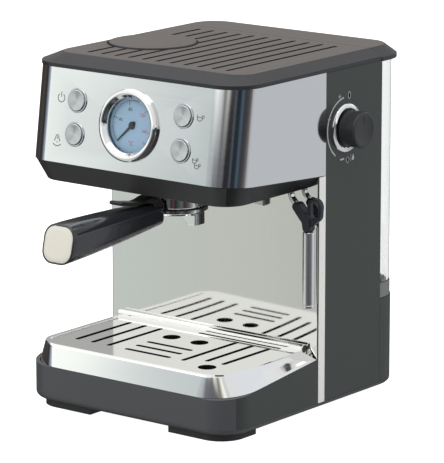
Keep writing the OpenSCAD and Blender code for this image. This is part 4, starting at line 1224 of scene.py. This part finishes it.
def wall_ramp(tree, stops, turn):
    node = tree.nodes.new("ShaderNodeValToRGB")
    elements = node.color_ramp.elements
    while len(elements) < len(stops):
        elements.new(0.5)
    for element, (angle, brightness) in zip(elements, stops):
        element.position = (angle + 180) / 360
        colour = brightness if isinstance(brightness, tuple) else (brightness,) * 3
        element.color = (*colour, 1)
    tree.links.new(turn, node.inputs["Fac"])
    return node.outputs["Color"]


def blend(tree, amount, low, high):
    node = tree.nodes.new("ShaderNodeMix")
    node.data_type = "RGBA"
    tree.links.new(amount, node.inputs["Factor"])
    for socket, value in (("A", low), ("B", high)):
        if isinstance(value, tuple):
            node.inputs[socket].default_value = (*value, 1)
        else:
            tree.links.new(value, node.inputs[socket])
    return node.outputs["Result"]


def between(tree, value, low, high):
    node = tree.nodes.new("ShaderNodeMapRange")
    node.inputs["From Min"].default_value = low
    node.inputs["From Max"].default_value = high
    tree.links.new(value, node.inputs["Value"])
    return node.outputs["Result"]


def world():
    """Soft studio all round: pale walls with darker upright bands ahead, and a bright ceiling."""
    studio = bpy.data.worlds.new("studio")
    bpy.context.scene.world = studio
    studio.use_nodes = True
    tree = studio.node_tree
    add, wire = tree.nodes.new, tree.links.new
    coords, split = add("ShaderNodeTexCoord"), add("ShaderNodeSeparateXYZ")
    wire(coords.outputs["Generated"], split.inputs["Vector"])
    flip, angle = add("ShaderNodeMath"), add("ShaderNodeMath")
    flip.operation, angle.operation = "MULTIPLY", "ARCTAN2"
    flip.inputs[1].default_value = -1
    wire(split.outputs["Y"], flip.inputs[0])
    wire(split.outputs["X"], angle.inputs[0])
    wire(flip.outputs[0], angle.inputs[1])
    turn = between(tree, angle.outputs[0], -math.pi, math.pi)
    below, horizon, above, high = (wall_ramp(tree, stops, turn) for stops in (BELOW, HORIZON, ABOVE, HIGH))
    height = split.outputs["Z"]
    walls = blend(tree, between(tree, height, -0.17, -0.05), below, horizon)
    for low, full, band in ((0.045, 0.07, above), (0.13, 0.19, high), (0.55, 0.9, CEILING)):
        walls = blend(tree, between(tree, height, low, full), walls, band)
    path = add("ShaderNodeLightPath")
    seen = blend(tree, path.outputs["Is Transmission Ray"], walls, CEILING)
    back = tree.nodes["Background"]
    wire(seen, back.inputs["Color"])
    back.inputs["Strength"].default_value = 1.0


def floor():
    """White sweep: plain to the eye and through clear parts, absent from the steel's reflections."""
    size = 30.0
    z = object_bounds()[0].z - 0.0004
    mesh = bpy.data.meshes.new("floor")
    corners = [(x * size, y * size, z) for x, y in ((-1, -1), (1, -1), (1, 1), (-1, 1))]
    mesh.from_pydata(corners, [], [(0, 1, 2, 3)])
    obj = link(bpy.data.objects.new("floor", mesh))
    mat, tree, bsdf = nodes_of("floor_pale")
    add, wire = tree.nodes.new, tree.links.new
    bsdf.inputs["Roughness"].default_value = 0.9
    bsdf.inputs["Specular IOR Level"].default_value = 0.0
    bsdf.inputs["Base Color"].default_value = (0.55, 0.56, 0.55, 1)
    path, glow = add("ShaderNodeLightPath"), add("ShaderNodeEmission")
    clear, lit = add("ShaderNodeBsdfTransparent"), add("ShaderNodeAddShader")
    direct, final = add("ShaderNodeMixShader"), add("ShaderNodeMixShader")
    glow.inputs["Color"].default_value = (1.0, 1.0, 1.0, 1)
    either = add("ShaderNodeMath")
    either.operation = "MAXIMUM"
    wire(path.outputs["Is Camera Ray"], either.inputs[0])
    wire(path.outputs["Is Transmission Ray"], either.inputs[1])
    wire(bsdf.outputs[0], lit.inputs[0])
    wire(glow.outputs[0], lit.inputs[1])
    wire(either.outputs[0], direct.inputs["Fac"])
    wire(bsdf.outputs[0], direct.inputs[1])
    wire(lit.outputs[0], direct.inputs[2])
    wire(path.outputs["Is Glossy Ray"], final.inputs["Fac"])
    wire(direct.outputs[0], final.inputs[1])
    wire(clear.outputs[0], final.inputs[2])
    wire(final.outputs[0], tree.nodes["Material Output"].inputs["Surface"])
    mesh.materials.append(mat)
    obj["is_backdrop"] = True


def lights():
    area("softbox_top", at(-300, -300, 1700), at(0, 100, 150), 1.8, 12)


PARTS = (
    dress_cad, head_wrap, head_bottom, top_cover, top_disc, tank_lid, tank_base, base_pan, drip_tray, grille,
    backsplash, gauge, dial_print, needle, buttons, panel_symbols, side_symbols, knob, group, portafilter,
    handle, clip, wand, camera, world, floor, lights,
)
for build in PARTS:
    build()
bpy.context.scene.view_settings.view_transform = "Standard"
